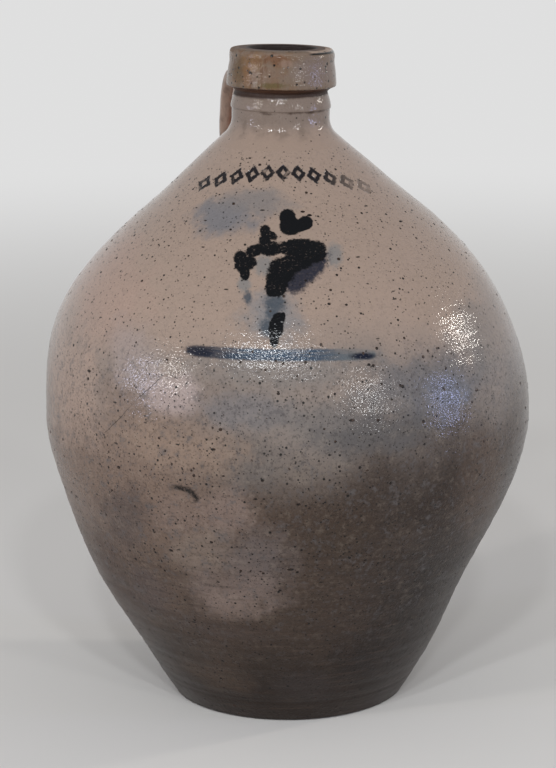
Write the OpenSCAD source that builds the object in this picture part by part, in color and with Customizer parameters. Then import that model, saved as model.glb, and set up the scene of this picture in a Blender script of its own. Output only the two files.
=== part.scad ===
// Ovoid stoneware jug, thrown in two sections, with a beaded neck, a thick collar and a strap handle.
// Millimetres, +Z up. The origin is the centre of the foot on the table, and the handle is on the +Y side.

/* [Body outline] */
// Radius of the foot on the table
foot_r = 68.8; // [62:0.2:76]
// Bevel that the string leaves round the edge of the foot
foot_bevel = 1.6; // [0.6:0.1:3]
// Lean of the wall just above the foot, in degrees from upright
foot_lean = 38; // [30:1:42]
// How far up the wall that lean is carried
foot_pull = 15; // [8:0.5:30]
// Radius at the widest place, where the two thrown sections meet
belly_r = 144.4; // [130:0.2:158]
// Height of the lower thrown section, from the table to the widest place
lower_h = 172; // [150:1:200]
// How far the lower wall stays upright below the widest place
lower_pull = 43.6; // [30:0.2:60]
// How far the upper wall stays upright above the widest place
upper_pull = 82; // [60:1:95]
// Height of the shoulder, from the widest place to its rim
shoulder_h = 162; // [145:1:180]
// Radius of the shoulder's rim, where the neck is luted on
shoulder_r = 38.8; // [36:0.2:44]
// Lean of the shoulder at its rim, in degrees from upright
shoulder_lean = 48; // [42:1:52]
// How far down the shoulder that lean is carried
shoulder_pull = 89; // [60:1:100]

/* [Walls] */
// Thickness of the floor
floor_t = 13; // [8:0.5:18]
// Radius-like run of the curve from the floor up into the wall
floor_corner = 16; // [8:1:24]
// Thickness of the wall at the foot
foot_wall = 12.5; // [9:0.5:15]
// Thickness of the wall at the widest place
belly_wall = 8.5; // [6:0.5:12]
// Thickness of the wall at the shoulder's rim
shoulder_wall = 8; // [6:0.5:10]
// Height of the tongue that keys each luted seam
tongue_h = 2.5; // [1:0.5:4]
// Thickness of the brown slip that lines the inside
lining_t = 0.6; // [0.4:0.1:1.5]

/* [Neck] */
// Radius of the round between the shoulder and the neck
root_round = 13; // [8:0.5:16]
// Radius of the neck at its waist, under the bead
waist_r = 28.4; // [26:0.2:30]
// Radius of the bead
bead_r = 29.4; // [28.5:0.1:32]
// Rise from the waist to the middle of the bead
bead_rise = 5.2; // [3:0.2:7]
// Rise from the middle of the bead to the groove
bead_fall = 7.6; // [4:0.2:10]
// Radius of the groove under the collar
groove_r = 26.8; // [25.8:0.1:28]
// Rise from the groove to the underside of the collar
groove_rise = 5.8; // [3:0.2:8]

/* [Collar and mouth] */
// Height of the collar
collar_h = 22.2; // [16:0.2:28]
// Radius of the collar at its lower edge
collar_r = 31.8; // [30.5:0.1:36]
// Radius of the collar at its upper edge
collar_top_r = 29.9; // [29.2:0.1:34]
// Rounding of the collar's lower edge
collar_edge = 1.8; // [0.8:0.1:3]
// Rounding of the collar's upper edge
lip_round = 3; // [1.5:0.1:4]
// Radius of the neck's spigot inside the collar
spigot_r = 25; // [23.5:0.1:25.6]
// Radius of the mouth, bored for a cork
mouth_r = 19; // [16:0.1:20]
// Rounding of the mouth's edge
mouth_round = 2.2; // [1:0.1:3]
// Rounding where the bore opens into the body
throat_round = 8; // [4:0.5:12]

/* [Handle] */
// Width of the strap where it leaves the neck
strap_top_w = 42; // [34:0.5:46]
// Width of the strap above its lower end
strap_low_w = 33; // [26:0.5:40]
// Extra width of the lower end, where it is pressed on the shoulder
strap_flare = 9; // [4:0.5:14]
// Thickness of the strap
strap_t = 11.5; // [8:0.5:14]
// Extra thickness of the strap at its two ends
strap_swell = 3; // [0:0.5:5]
// Depth of the strap's middle below the underside of the collar, on the neck
handle_drop = 9.5; // [7:0.5:14]
// Upward slope of the strap as it leaves the neck, in degrees
handle_rise = 40; // [25:1:48]
// How far that slope is carried
handle_top_pull = 58; // [44:1:66]
// How far the strap falls straight above its lower end
handle_low_pull = 52; // [36:1:60]
// Outward slope of that fall, in degrees
handle_low_lean = 3; // [0:1:12]
// Depth to which each end of the strap is bedded before it is trimmed to the clay
handle_bed = 6; // [4:0.5:7]

/* [Smoothness] */
// Steps along each wall curve
curve_steps = 22; // [12:1:32]
// Steps round each small rounding
round_steps = 6; // [4:1:10]
// Rings along the strap
strap_rings = 34; // [20:1:44]
// Sides of the strap
strap_sides = 28; // [16:4:36]

/* [Hidden] */
$fn = 96;

// Where the tongue of a seam stands, as shares of the way from the outside of the wall to the inside
tongue_shares = [0.3, 0.5, 0.7];
// Where the strap's lower end lands, as a share of the way along the shoulder's curve
landing_share = 0.745;
// Squareness of the strap's section: 1 is an ellipse and 0 a rectangle
strap_square_share = 0.62;
// Shares of the strap's length over which its ends swell and flare
end_share = 0.22;

shoulder_z = lower_h + shoulder_h;
foot_top_r = foot_r + foot_bevel;

// Point on a cubic curve, its direction, and a mix of two values
function bez(p, t) = pow(1 - t, 3) * p[0] + 3 * pow(1 - t, 2) * t * p[1]
    + 3 * (1 - t) * t * t * p[2] + pow(t, 3) * p[3];
function slope(p, t) = 3 * pow(1 - t, 2) * (p[1] - p[0]) + 6 * (1 - t) * t * (p[2] - p[1])
    + 3 * t * t * (p[3] - p[2]);
function mix(a, b, t) = a + (b - a) * t;
function unit(v) = v / norm(v);

// Eased run from one point of an outline to the next, upright at both, without its first point
function eased(a, b) = [for (i = [1:round_steps])
    let (s = i / round_steps) [mix(a[0], b[0], (1 - cos(180 * s)) / 2), mix(a[1], b[1], s)]];
// Arc about a centre, from one angle to another
function arc(c, r, from, to) = [for (i = [0:round_steps])
    let (a = mix(from, to, i / round_steps)) c + r * [cos(a), sin(a)]];

// The two curves of the outside, from the foot to the widest place and from there to the rim
lower_curve = [
    [foot_top_r, foot_bevel],
    [foot_top_r + foot_pull * sin(foot_lean), foot_bevel + foot_pull * cos(foot_lean)],
    [belly_r, lower_h - lower_pull],
    [belly_r, lower_h]
];
upper_curve = [
    [belly_r, lower_h],
    [belly_r, lower_h + upper_pull],
    [shoulder_r + shoulder_pull * sin(shoulder_lean), shoulder_z - shoulder_pull * cos(shoulder_lean)],
    [shoulder_r, shoulder_z]
];

// Point inside a curve, at a depth measured square to the wall
function inward(p, t, depth) = bez(p, t) + depth * unit([-slope(p, t)[1], slope(p, t)[0]]);
function steps(n) = [for (i = [0:n]) i / n];

lower_out = [for (t = steps(curve_steps)) bez(lower_curve, t)];
upper_out = [for (t = steps(curve_steps)) bez(upper_curve, t)];

// Inside of each section, with a skin of the given depth laid on it
function upper_in(skin) = [for (t = steps(curve_steps))
    inward(upper_curve, t, mix(belly_wall, shoulder_wall, t) + skin)];
function lower_side(skin) = [for (t = steps(curve_steps))
    let (q = inward(lower_curve, t, mix(foot_wall, belly_wall, t) + skin))
    if (q[1] > floor_t + floor_corner) q];
// Where the line of the wall would meet the floor
function floor_edge(side, skin) = let (run = side[0] - side[1])
    [side[0][0] + run[0] / run[1] * (floor_t + skin - side[0][1]), floor_t + skin];
function floor_curve(side, skin) = let (c = floor_edge(side, skin), a = c - [floor_corner, 0])
    [for (i = [0:round_steps - 1]) let (t = i / round_steps)
        (1 - t) * (1 - t) * a + 2 * (1 - t) * t * c + t * t * side[0]];
function lower_in(skin) = let (side = lower_side(skin)) concat(floor_curve(side, skin), side);

// A tongue across a seam, from the outside point of the wall to the inside point, without the two ends
function tongue(o, i) = let (up = unit([i[1] - o[1], o[0] - i[0]]))
    [mix(o, i, tongue_shares[0]), mix(o, i, tongue_shares[1]) + tongue_h * up, mix(o, i, tongue_shares[2])];
function last(v) = v[len(v) - 1];
function reversed(v) = [for (i = [len(v) - 1:-1:0]) v[i]];
belly_tongue = tongue(last(lower_out), last(lower_in(0)));
rim_tongue = tongue(last(upper_out), last(upper_in(0)));

// Heights up the neck
root_r = waist_r + root_round * (1 - cos(shoulder_lean));
root_z = shoulder_z + max(0, shoulder_r - root_r) / tan(shoulder_lean);
waist_z = root_z + root_round * sin(shoulder_lean);
bead_z = waist_z + bead_rise;
groove_z = bead_z + bead_fall;
seat_z = groove_z + groove_rise;
jug_h = seat_z + collar_h;

neck_out = concat(
    [[shoulder_r, shoulder_z]],
    arc([waist_r + root_round, waist_z], root_round, 180 + shoulder_lean, 180),
    eased([waist_r, waist_z], [bead_r, bead_z]),
    eased([bead_r, bead_z], [groove_r, groove_z]),
    [[groove_r, seat_z]]
);

// The bore, from its rounded opening into the body up to the rounded edge of the mouth
throat_foot = last(upper_in(0));
throat_z = throat_foot[1] + (throat_foot[0] - mouth_r) / tan(shoulder_lean)
    + throat_round * tan(shoulder_lean / 2);
neck_in = concat(
    [throat_foot],
    arc([mouth_r + throat_round, throat_z], throat_round, 180 + shoulder_lean, 180)
);
mouth_edge = reversed(arc([mouth_r + mouth_round, jug_h - mouth_round], mouth_round, 180, 90));

collar_out = concat(
    arc([collar_r - collar_edge, seat_z + collar_edge], collar_edge, -90, 0),
    arc([collar_top_r - lip_round, jug_h - lip_round], lip_round, 0, 90)
);

// The strap's middle line, in the plane of the handle: [distance from the axis, height]
landing = inward(upper_curve, landing_share, handle_bed);
leaving = [groove_r - handle_bed, seat_z - handle_drop];
strap_curve = [
    leaving,
    leaving + handle_top_pull * [cos(handle_rise), sin(handle_rise)],
    landing + handle_low_pull * [sin(handle_low_lean), cos(handle_low_lean)],
    landing
];
// 1 at an end of the strap, easing to 0 away from it
function near_end(d) = d < end_share ? (1 + cos(180 * d / end_share)) / 2 : 0;
function strap_w(t) = mix(strap_top_w, strap_low_w, t) + strap_flare * near_end(1 - t);
function strap_thick(t) = strap_t + strap_swell * (near_end(t) + near_end(1 - t));
function squared(v) = sign(v) * pow(abs(v), strap_square_share);
function strap_ring(t) = let (at = bez(strap_curve, t), dir = unit(slope(strap_curve, t)))
    [for (i = [0:strap_sides - 1]) let (
        a = 360 * i / strap_sides,
        out = squared(sin(a)) * strap_thick(t) / 2
    ) [squared(cos(a)) * strap_w(t) / 2, at[0] - out * dir[1], at[1] + out * dir[0]]];

// Solid through a list of rings of equally many points, with flat ends
module swept(rings) {
    n = len(rings[0]);
    m = len(rings);
    sides = [for (r = [0:m - 2], i = [0:n - 1]) let (j = (i + 1) % n)
        [r * n + i, (r + 1) * n + i, (r + 1) * n + j, r * n + j]];
    triangles = [for (f = sides, half = [0, 1]) half == 0 ? [f[0], f[1], f[2]] : [f[0], f[2], f[3]]];
    start = [[for (i = [0:n - 1]) i]];
    end = [[for (i = [n - 1:-1:0]) (m - 1) * n + i]];
    polyhedron(points = [for (r = rings, p = r) p], faces = concat(triangles, start, end));
}

// The clay that the handle is pressed on, as one solid of the outside from the shoulder up
module outside() {
    rotate_extrude()
        polygon(concat(
            [[0, lower_h]],
            upper_out,
            [for (i = [1:len(neck_out) - 1]) neck_out[i]],
            collar_out,
            [[0, jug_h]]
        ));
}

module lower_body() {
    color([0.40, 0.36, 0.31])
        rotate_extrude()
            polygon(concat(
                [[0, 0], [foot_r, 0]],
                lower_out,
                belly_tongue,
                reversed(lower_in(0)),
                [[0, floor_t]]
            ));
}

module shoulder() {
    color([0.55, 0.45, 0.36])
        rotate_extrude()
            polygon(concat(upper_out, rim_tongue, reversed(upper_in(0)), reversed(belly_tongue)));
}

module neck() {
    color([0.45, 0.36, 0.28])
        rotate_extrude()
            polygon(concat(
                neck_out,
                [[spigot_r, seat_z], [spigot_r, jug_h]],
                mouth_edge,
                reversed(neck_in),
                reversed(rim_tongue)
            ));
}

module collar() {
    color([0.48, 0.35, 0.20])
        rotate_extrude()
            polygon(concat([[spigot_r, seat_z]], collar_out, [[spigot_r, jug_h]]));
}

module strap_handle() {
    color([0.42, 0.29, 0.20])
        difference() {
            swept([for (t = steps(strap_rings)) strap_ring(t)]);
            outside();
        }
}

module slip_lining() {
    color([0.20, 0.12, 0.09])
        rotate_extrude()
            polygon(concat(
                [[0, floor_t]],
                lower_in(0),
                [for (i = [1:curve_steps]) upper_in(0)[i]],
                reversed(upper_in(lining_t)),
                reversed([for (i = [0:len(lower_in(lining_t)) - 2]) lower_in(lining_t)[i]]),
                [[0, floor_t + lining_t]]
            ));
}

lower_body();
shoulder();
neck();
collar();
strap_handle();
slip_lining();
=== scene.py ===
"""Looks of an ovoid salt-glazed stoneware jug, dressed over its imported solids.

The jug stands at the origin with its axis on +Z, its strap handle on +Y and its painted front towards
the camera, 15 degrees round from -Y. Sizes are written in millimetres, and Blender takes metres: MM turns
one into the other. A band is a pair of lengths between which a finish comes in, from nothing to full.
"""

import logging
import math
from collections.abc import Sequence
from dataclasses import dataclass
from enum import Enum

import bpy
import numpy as np
from mathutils import Matrix, Vector


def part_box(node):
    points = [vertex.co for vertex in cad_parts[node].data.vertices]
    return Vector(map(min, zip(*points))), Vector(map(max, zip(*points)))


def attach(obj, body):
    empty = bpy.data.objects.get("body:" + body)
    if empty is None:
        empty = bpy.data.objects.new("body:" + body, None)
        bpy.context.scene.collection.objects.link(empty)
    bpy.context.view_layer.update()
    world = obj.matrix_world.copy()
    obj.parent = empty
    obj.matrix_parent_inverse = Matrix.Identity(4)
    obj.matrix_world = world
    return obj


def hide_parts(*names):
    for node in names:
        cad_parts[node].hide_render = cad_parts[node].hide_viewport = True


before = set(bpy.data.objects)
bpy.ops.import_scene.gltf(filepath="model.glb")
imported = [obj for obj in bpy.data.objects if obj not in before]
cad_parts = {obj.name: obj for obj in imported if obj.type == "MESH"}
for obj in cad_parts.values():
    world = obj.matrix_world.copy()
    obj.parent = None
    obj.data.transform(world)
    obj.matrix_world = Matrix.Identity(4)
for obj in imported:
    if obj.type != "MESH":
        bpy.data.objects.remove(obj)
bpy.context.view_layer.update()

LOG = logging.getLogger("jug")
MM = 0.001
FULL_TURN = 2 * math.pi
ROOT = "root"
FRONT = math.radians(-15.0)
RIGHT = (math.cos(FRONT), math.sin(FRONT), 0.0)
AWAY = (-math.sin(FRONT), math.cos(FRONT), 0.0)
GLAZE_IOR = 1.37
OVAL_BLEND = 0.18
BACK_FADE = 20.0
PEEL_DEPTH = 0.18
ROLL_CELL = 5.0
ROLL_DEPTH = 0.1
SHARP_ANGLE = 52.0
ON_AXIS = 1e-6
WHITE = (1.0, 1.0, 1.0)
DAYLIGHT = (0.94, 0.97, 1.0)

Colour = tuple[float, float, float]
Band = tuple[float, float]


def srgb(red: int, green: int, blue: int) -> Colour:
    """Turns a screen colour into the linear colour that a shader takes.

    Args:
        red: Its red part, 0 to 255.
        green: Its green part.
        blue: Its blue part.

    Returns:
        The linear colour.
    """
    def channel(value: int) -> float:
        """Returns one channel as a linear share."""
        share = value / 255.0
        return share / 12.92 if share <= 0.04045 else ((share + 0.055) / 1.055) ** 2.4
    return channel(red), channel(green), channel(blue)


def smooth(value: np.ndarray, low: float | np.ndarray, high: float | np.ndarray) -> np.ndarray:
    """Returns a smooth step of an array that is 0 at low and 1 at high; low may be the larger."""
    share = np.clip((value - low) / (high - low), 0.0, 1.0)
    return share * share * (3.0 - 2.0 * share)


class Slot(Enum):
    """Material slots of the record."""

    BODY = "glazed_body"
    NECK = "glazed_neck"
    HANDLE = "glazed_handle"
    SLIP = "brown_slip"


class Sock:
    """One output of a node, which takes part in Python sums."""

    def __init__(self, tree: "Tree", output: bpy.types.NodeSocket | None) -> None:
        """Wraps an output socket of a tree's node."""
        self.tree = tree
        self.output = output

    def __add__(self, other: "Sock | float") -> "Sock":
        """Returns self + other."""
        return self.tree.math("ADD", self, other)

    def __radd__(self, other: float) -> "Sock":
        """Returns other + self."""
        return self.tree.math("ADD", other, self)

    def __sub__(self, other: "Sock | float") -> "Sock":
        """Returns self - other."""
        return self.tree.math("SUBTRACT", self, other)

    def __rsub__(self, other: float) -> "Sock":
        """Returns other - self."""
        return self.tree.math("SUBTRACT", other, self)

    def __mul__(self, other: "Sock | float") -> "Sock":
        """Returns self * other."""
        return self.tree.math("MULTIPLY", self, other)

    def __rmul__(self, other: float) -> "Sock":
        """Returns other * self."""
        return self.tree.math("MULTIPLY", other, self)

    def __pow__(self, other: "Sock | float") -> "Sock":
        """Returns self to the power of other."""
        return self.tree.math("POWER", self, other)

    def __abs__(self) -> "Sock":
        """Returns self without its sign."""
        return self.tree.math("ABSOLUTE", self)


class Tree:
    """Builds a tree of nodes from Python sums and named nodes."""

    def __init__(self, nodes: bpy.types.NodeTree) -> None:
        """Takes an empty or partly filled tree."""
        self.nodes = nodes

    @classmethod
    def emptied(cls, owner: bpy.types.Material | bpy.types.World) -> "Tree":
        """Takes the first nodes out of a material or a world.

        Args:
            owner: The material or the world.

        Returns:
            Its empty tree.
        """
        owner.use_nodes = True
        owner.node_tree.nodes.clear()
        return cls(owner.node_tree)

    def feed(self, socket: bpy.types.NodeSocket, value: object) -> None:
        """Links a Sock to an input, or sets the input's own value.

        Args:
            socket: The input socket.
            value: A Sock, a number, a colour, a vector or a material.
        """
        if isinstance(value, Sock):
            self.nodes.links.new(value.output, socket)
        elif isinstance(value, tuple) and socket.type == "RGBA":
            socket.default_value = (*value[:3], 1.0)
        else:
            socket.default_value = value

    def node(self, kind: str, settings: dict | None = None, inputs: dict | None = None,
             output: int | str = 0) -> Sock:
        """Adds a node.

        Args:
            kind: The node's type.
            settings: Properties, set before the inputs.
            inputs: Values or links of its inputs, by name or number.
            output: The output to return, by name or number.

        Returns:
            The chosen output, or an empty one where the node has none.
        """
        made = self.nodes.nodes.new(kind)
        for name, value in (settings or {}).items():
            setattr(made, name, value)
        for name, value in (inputs or {}).items():
            self.feed(made.inputs[name], value)
        return Sock(self, made.outputs[output] if made.outputs else None)

    def other(self, sock: Sock, output: int | str) -> Sock:
        """Returns another output of the node that a Sock comes from."""
        return Sock(self, sock.output.node.outputs[output])

    def math(self, operation: str, *values: Sock | float) -> Sock:
        """Adds a Math node on one, two or three values."""
        return self.node("ShaderNodeMath", {"operation": operation}, dict(enumerate(values)))

    def greatest(self, first: Sock, *others: Sock) -> Sock:
        """Compares some values.

        Args:
            first: The first value.
            others: The rest of them.

        Returns:
            The largest.
        """
        for other in others:
            first = self.math("MAXIMUM", first, other)
        return first

    def vector(self, operation: str, *values: object, output: int | str = 0) -> Sock:
        """Adds a Vector Math node."""
        return self.node("ShaderNodeVectorMath", {"operation": operation},
                         dict(enumerate(values)), output)

    def length(self, vector: Sock) -> Sock:
        """Returns the length of a vector."""
        return self.vector("LENGTH", vector, output="Value")

    def split(self, vector: Sock) -> tuple[Sock, Sock, Sock]:
        """Returns the three parts of a vector."""
        first = self.node("ShaderNodeSeparateXYZ", None, {0: vector})
        return first, self.other(first, 1), self.other(first, 2)

    def join(self, x: Sock | float, y: Sock | float, z: Sock | float) -> Sock:
        """Returns a vector made of three numbers."""
        return self.node("ShaderNodeCombineXYZ", None, {0: x, 1: y, 2: z})

    def between(self, value: Sock, low: float, high: float) -> Sock:
        """Returns a smooth step that is 0 at low and 1 at high; low may be the larger."""
        return self.node(
            "ShaderNodeMapRange", {"interpolation_type": "SMOOTHSTEP"},
            {"Value": value, "From Min": low, "From Max": high, "To Min": 0.0, "To Max": 1.0})

    def band(self, value: Sock, ends: Band) -> Sock:
        """Returns a smooth step over a band: 0 at its first end and 1 at its second."""
        return self.between(value, ends[0] * MM, ends[1] * MM)

    def mix(self, mask: Sock | float, first: object, second: object) -> Sock:
        """Mixes two colours.

        Args:
            mask: 0 gives the first colour and 1 the second.
            first: A Sock or a colour.
            second: A Sock or a colour.

        Returns:
            The mixed colour.
        """
        return self.node("ShaderNodeMix", {"data_type": "RGBA", "clamp_factor": True},
                         {0: mask, 6: first, 7: second}, 2)

    def noise(self, place: Sock, cell: float, detail: float, rough: float) -> Sock:
        """Adds a cloudy pattern.

        Args:
            place: The point that it is read at.
            cell: The size of a cloud, in millimetres.
            detail: How many finer layers it has.
            rough: The strength of the finer layers.

        Returns:
            A value from about 0.25 to 0.75.
        """
        return self.node("ShaderNodeTexNoise", {"noise_dimensions": "3D"},
                         {"Vector": place, "Scale": 1.0 / (cell * MM), "Detail": detail,
                          "Roughness": rough}, "Fac")


@dataclass(frozen=True)
class Oval:
    """A soft or hard oval in the plane that the jug's front faces, turned by some degrees."""

    across: float
    up: float
    half_width: float
    half_height: float
    turn: float = 0.0

    def local(self, tree: Tree, plane: Sock) -> Sock:
        """Returns a point as the oval sees it, with 0 at its middle and 1 on its edge.

        A Mapping node turns the point. An oval that isn't turned does without, because a shader holds
        only some sixty of them.

        Args:
            tree: The shader's tree.
            plane: The point in the front's plane, as (across, up, how far behind).

        Returns:
            The same point, in shares of the oval's size.
        """
        if self.turn == 0.0:
            shares = (1.0 / (self.half_width * MM), 1.0 / (self.half_height * MM), 1.0)
            start = (-self.across / self.half_width, -self.up / self.half_height, 0.0)
            return tree.vector("MULTIPLY_ADD", plane, shares, start)
        return tree.node(
            "ShaderNodeMapping", {"vector_type": "TEXTURE"},
            {"Vector": plane, "Location": (self.across * MM, self.up * MM, 0.0),
             "Rotation": (0.0, 0.0, math.radians(self.turn)),
             "Scale": (self.half_width * MM, self.half_height * MM, 1.0)})


def ovals(*rows: tuple[float, ...]) -> tuple[Oval, ...]:
    """Returns ovals from rows of their sizes."""
    return tuple(Oval(*row) for row in rows)


class Surface(Tree):
    """A new material: its tree, its places on the jug, and its colour as layers are laid on it."""

    def __init__(self, name: str, colour: Colour) -> None:
        """Makes a material that has one colour so far.

        Args:
            name: Its name.
            colour: The colour.
        """
        self.material = bpy.data.materials.new(name)
        super().__init__(Tree.emptied(self.material).nodes)
        self.colour: Sock | Colour = colour
        self.point = self.node("ShaderNodeTexCoord", None, None, "Object")
        turned = self.node("ShaderNodeMapping", {"vector_type": "POINT"},
                           {"Vector": self.point, "Rotation": (0.0, 0.0, -FRONT)})
        self.across, self.away, self.up = self.split(turned)
        behind = self.math("MAXIMUM", self.away, 0.0) * BACK_FADE
        self.plane = self.join(self.across, self.up, behind)

    def lay(self, mask: Sock, shade: Sock | Colour) -> None:
        """Lays another colour over the colour so far, where a mask is 1."""
        self.colour = self.mix(mask, self.colour, shade)

    def radius(self) -> Sock:
        """Returns how far the point lies from the axis."""
        return self.length(self.join(self.across, self.away, 0.0))

    def turn(self) -> Sock:
        """Returns the turn of the point round the axis, in radians from the front, right positive."""
        return self.math("ARCTAN2", self.across, self.away * -1.0)

    def stretched(self, share_level: float, share_up: float) -> Sock:
        """Returns the point with its level and upright parts multiplied by two shares."""
        return self.node(
            "ShaderNodeMapping", {"vector_type": "POINT"},
            {"Vector": self.point, "Scale": (share_level, share_level, share_up)})

    def cloudy(self, cell: float, detail: float, rough: float) -> Sock:
        """Returns the cloudy pattern of Tree.noise at the point."""
        return self.noise(self.point, cell, detail, rough)

    def stray(self, cell: float, detail: float, rough: float, most: float = 1.0) -> Sock:
        """Returns the same pattern about 0, times a factor: how far an edge strays at the point."""
        return (self.cloudy(cell, detail, rough) - 0.5) * most

    def patch(self, group: Sequence[Oval], rim: float, core: float, stray: Sock | float = 0.0,
              place: Sock | None = None) -> Sock:
        """Returns a patch in the shape of some ovals that run together.

        Args:
            group: The ovals.
            rim: The share of the ovals' size at which the patch begins.
            core: The share at which it is full.
            stray: How far its edge strays, as a share of its size.
            place: The point in the front's plane, where it isn't the surface's own.

        Returns:
            0 outside the patch and 1 in its core.
        """
        first, *others = [self.length(oval.local(self, place or self.plane)) for oval in group]
        for other in others:
            first = self.math("SMOOTH_MIN", first, other, OVAL_BLEND)
        return self.between(first + stray, rim, core)

    def specks(self, cell: float, size: float, kept: float, place: Sock | None = None) -> Sock:
        """Scatters small spots.

        Args:
            cell: The distance between spots, in millimetres.
            size: The radius of the largest spot, as a share of the cell.
            kept: The share of the spots that show.
            place: The point that they are read at, where it isn't the surface's own.

        Returns:
            1 in a spot and 0 outside.
        """
        distance = self.node("ShaderNodeTexVoronoi", {"feature": "F1", "voronoi_dimensions": "3D"},
                             {"Vector": place or self.point, "Scale": 1.0 / (cell * MM)}, "Distance")
        chance, spread, _ = self.split(self.other(distance, "Color"))
        inside = self.between(distance - (spread * 0.6 + 0.4) * size, 0.25 * size, -0.25 * size)
        return inside * self.between(chance, kept, kept - 0.02)

    def orange_peel(self, strength: float, grain: float = 1.2) -> Sock:
        """Raises the surface of salt glaze: small closed bumps over a slow roll.

        Args:
            strength: How strong both are.
            grain: The size of the small bumps, in millimetres.

        Returns:
            The height, in metres.
        """
        fine = self.cloudy(grain, 1.0, 0.45)
        slow = self.cloudy(ROLL_CELL, 1.0, 0.4)
        return (fine * (grain * PEEL_DEPTH * MM) + slow * (ROLL_DEPTH * MM)) * strength

    def finish(self, roughness: Sock | float, height: Sock) -> bpy.types.Material:
        """Joins the colour and the rest in one shader.

        Args:
            roughness: The roughness.
            height: The bump's height, in metres.

        Returns:
            The finished material.
        """
        normal = self.node("ShaderNodeBump", None,
                           {"Strength": 1.0, "Distance": 1.0, "Height": height})
        shader = self.node(
            "ShaderNodeBsdfPrincipled", None,
            {"Base Color": self.colour, "Roughness": roughness, "IOR": GLAZE_IOR, "Normal": normal})
        self.node("ShaderNodeOutputMaterial", None, {"Surface": shader})
        return self.material


@dataclass(frozen=True)
class Cloud:
    """A patch of another colour, with a soft, ragged edge: a colour of the glaze, and on the body at times
    painted light, shade or reflection.
    """

    oval: Oval
    colour: Colour
    strength: float = 1.0
    core: float = 0.3
    rim: float = 1.15

    def lay(self, tree: Surface, ragged: Sock) -> None:
        """Lays the patch on a material, with an edge that strays by a share of the patch's size."""
        tree.lay(tree.patch([self.oval], self.rim, self.core, ragged) * self.strength, self.colour)


def clouds(*rows: tuple) -> tuple[Cloud, ...]:
    """Returns clouds from rows of an oval's sizes, a screen colour, a strength and at times a core."""
    return tuple(Cloud(Oval(*sizes), srgb(*colour), *rest) for sizes, colour, *rest in rows)


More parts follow.
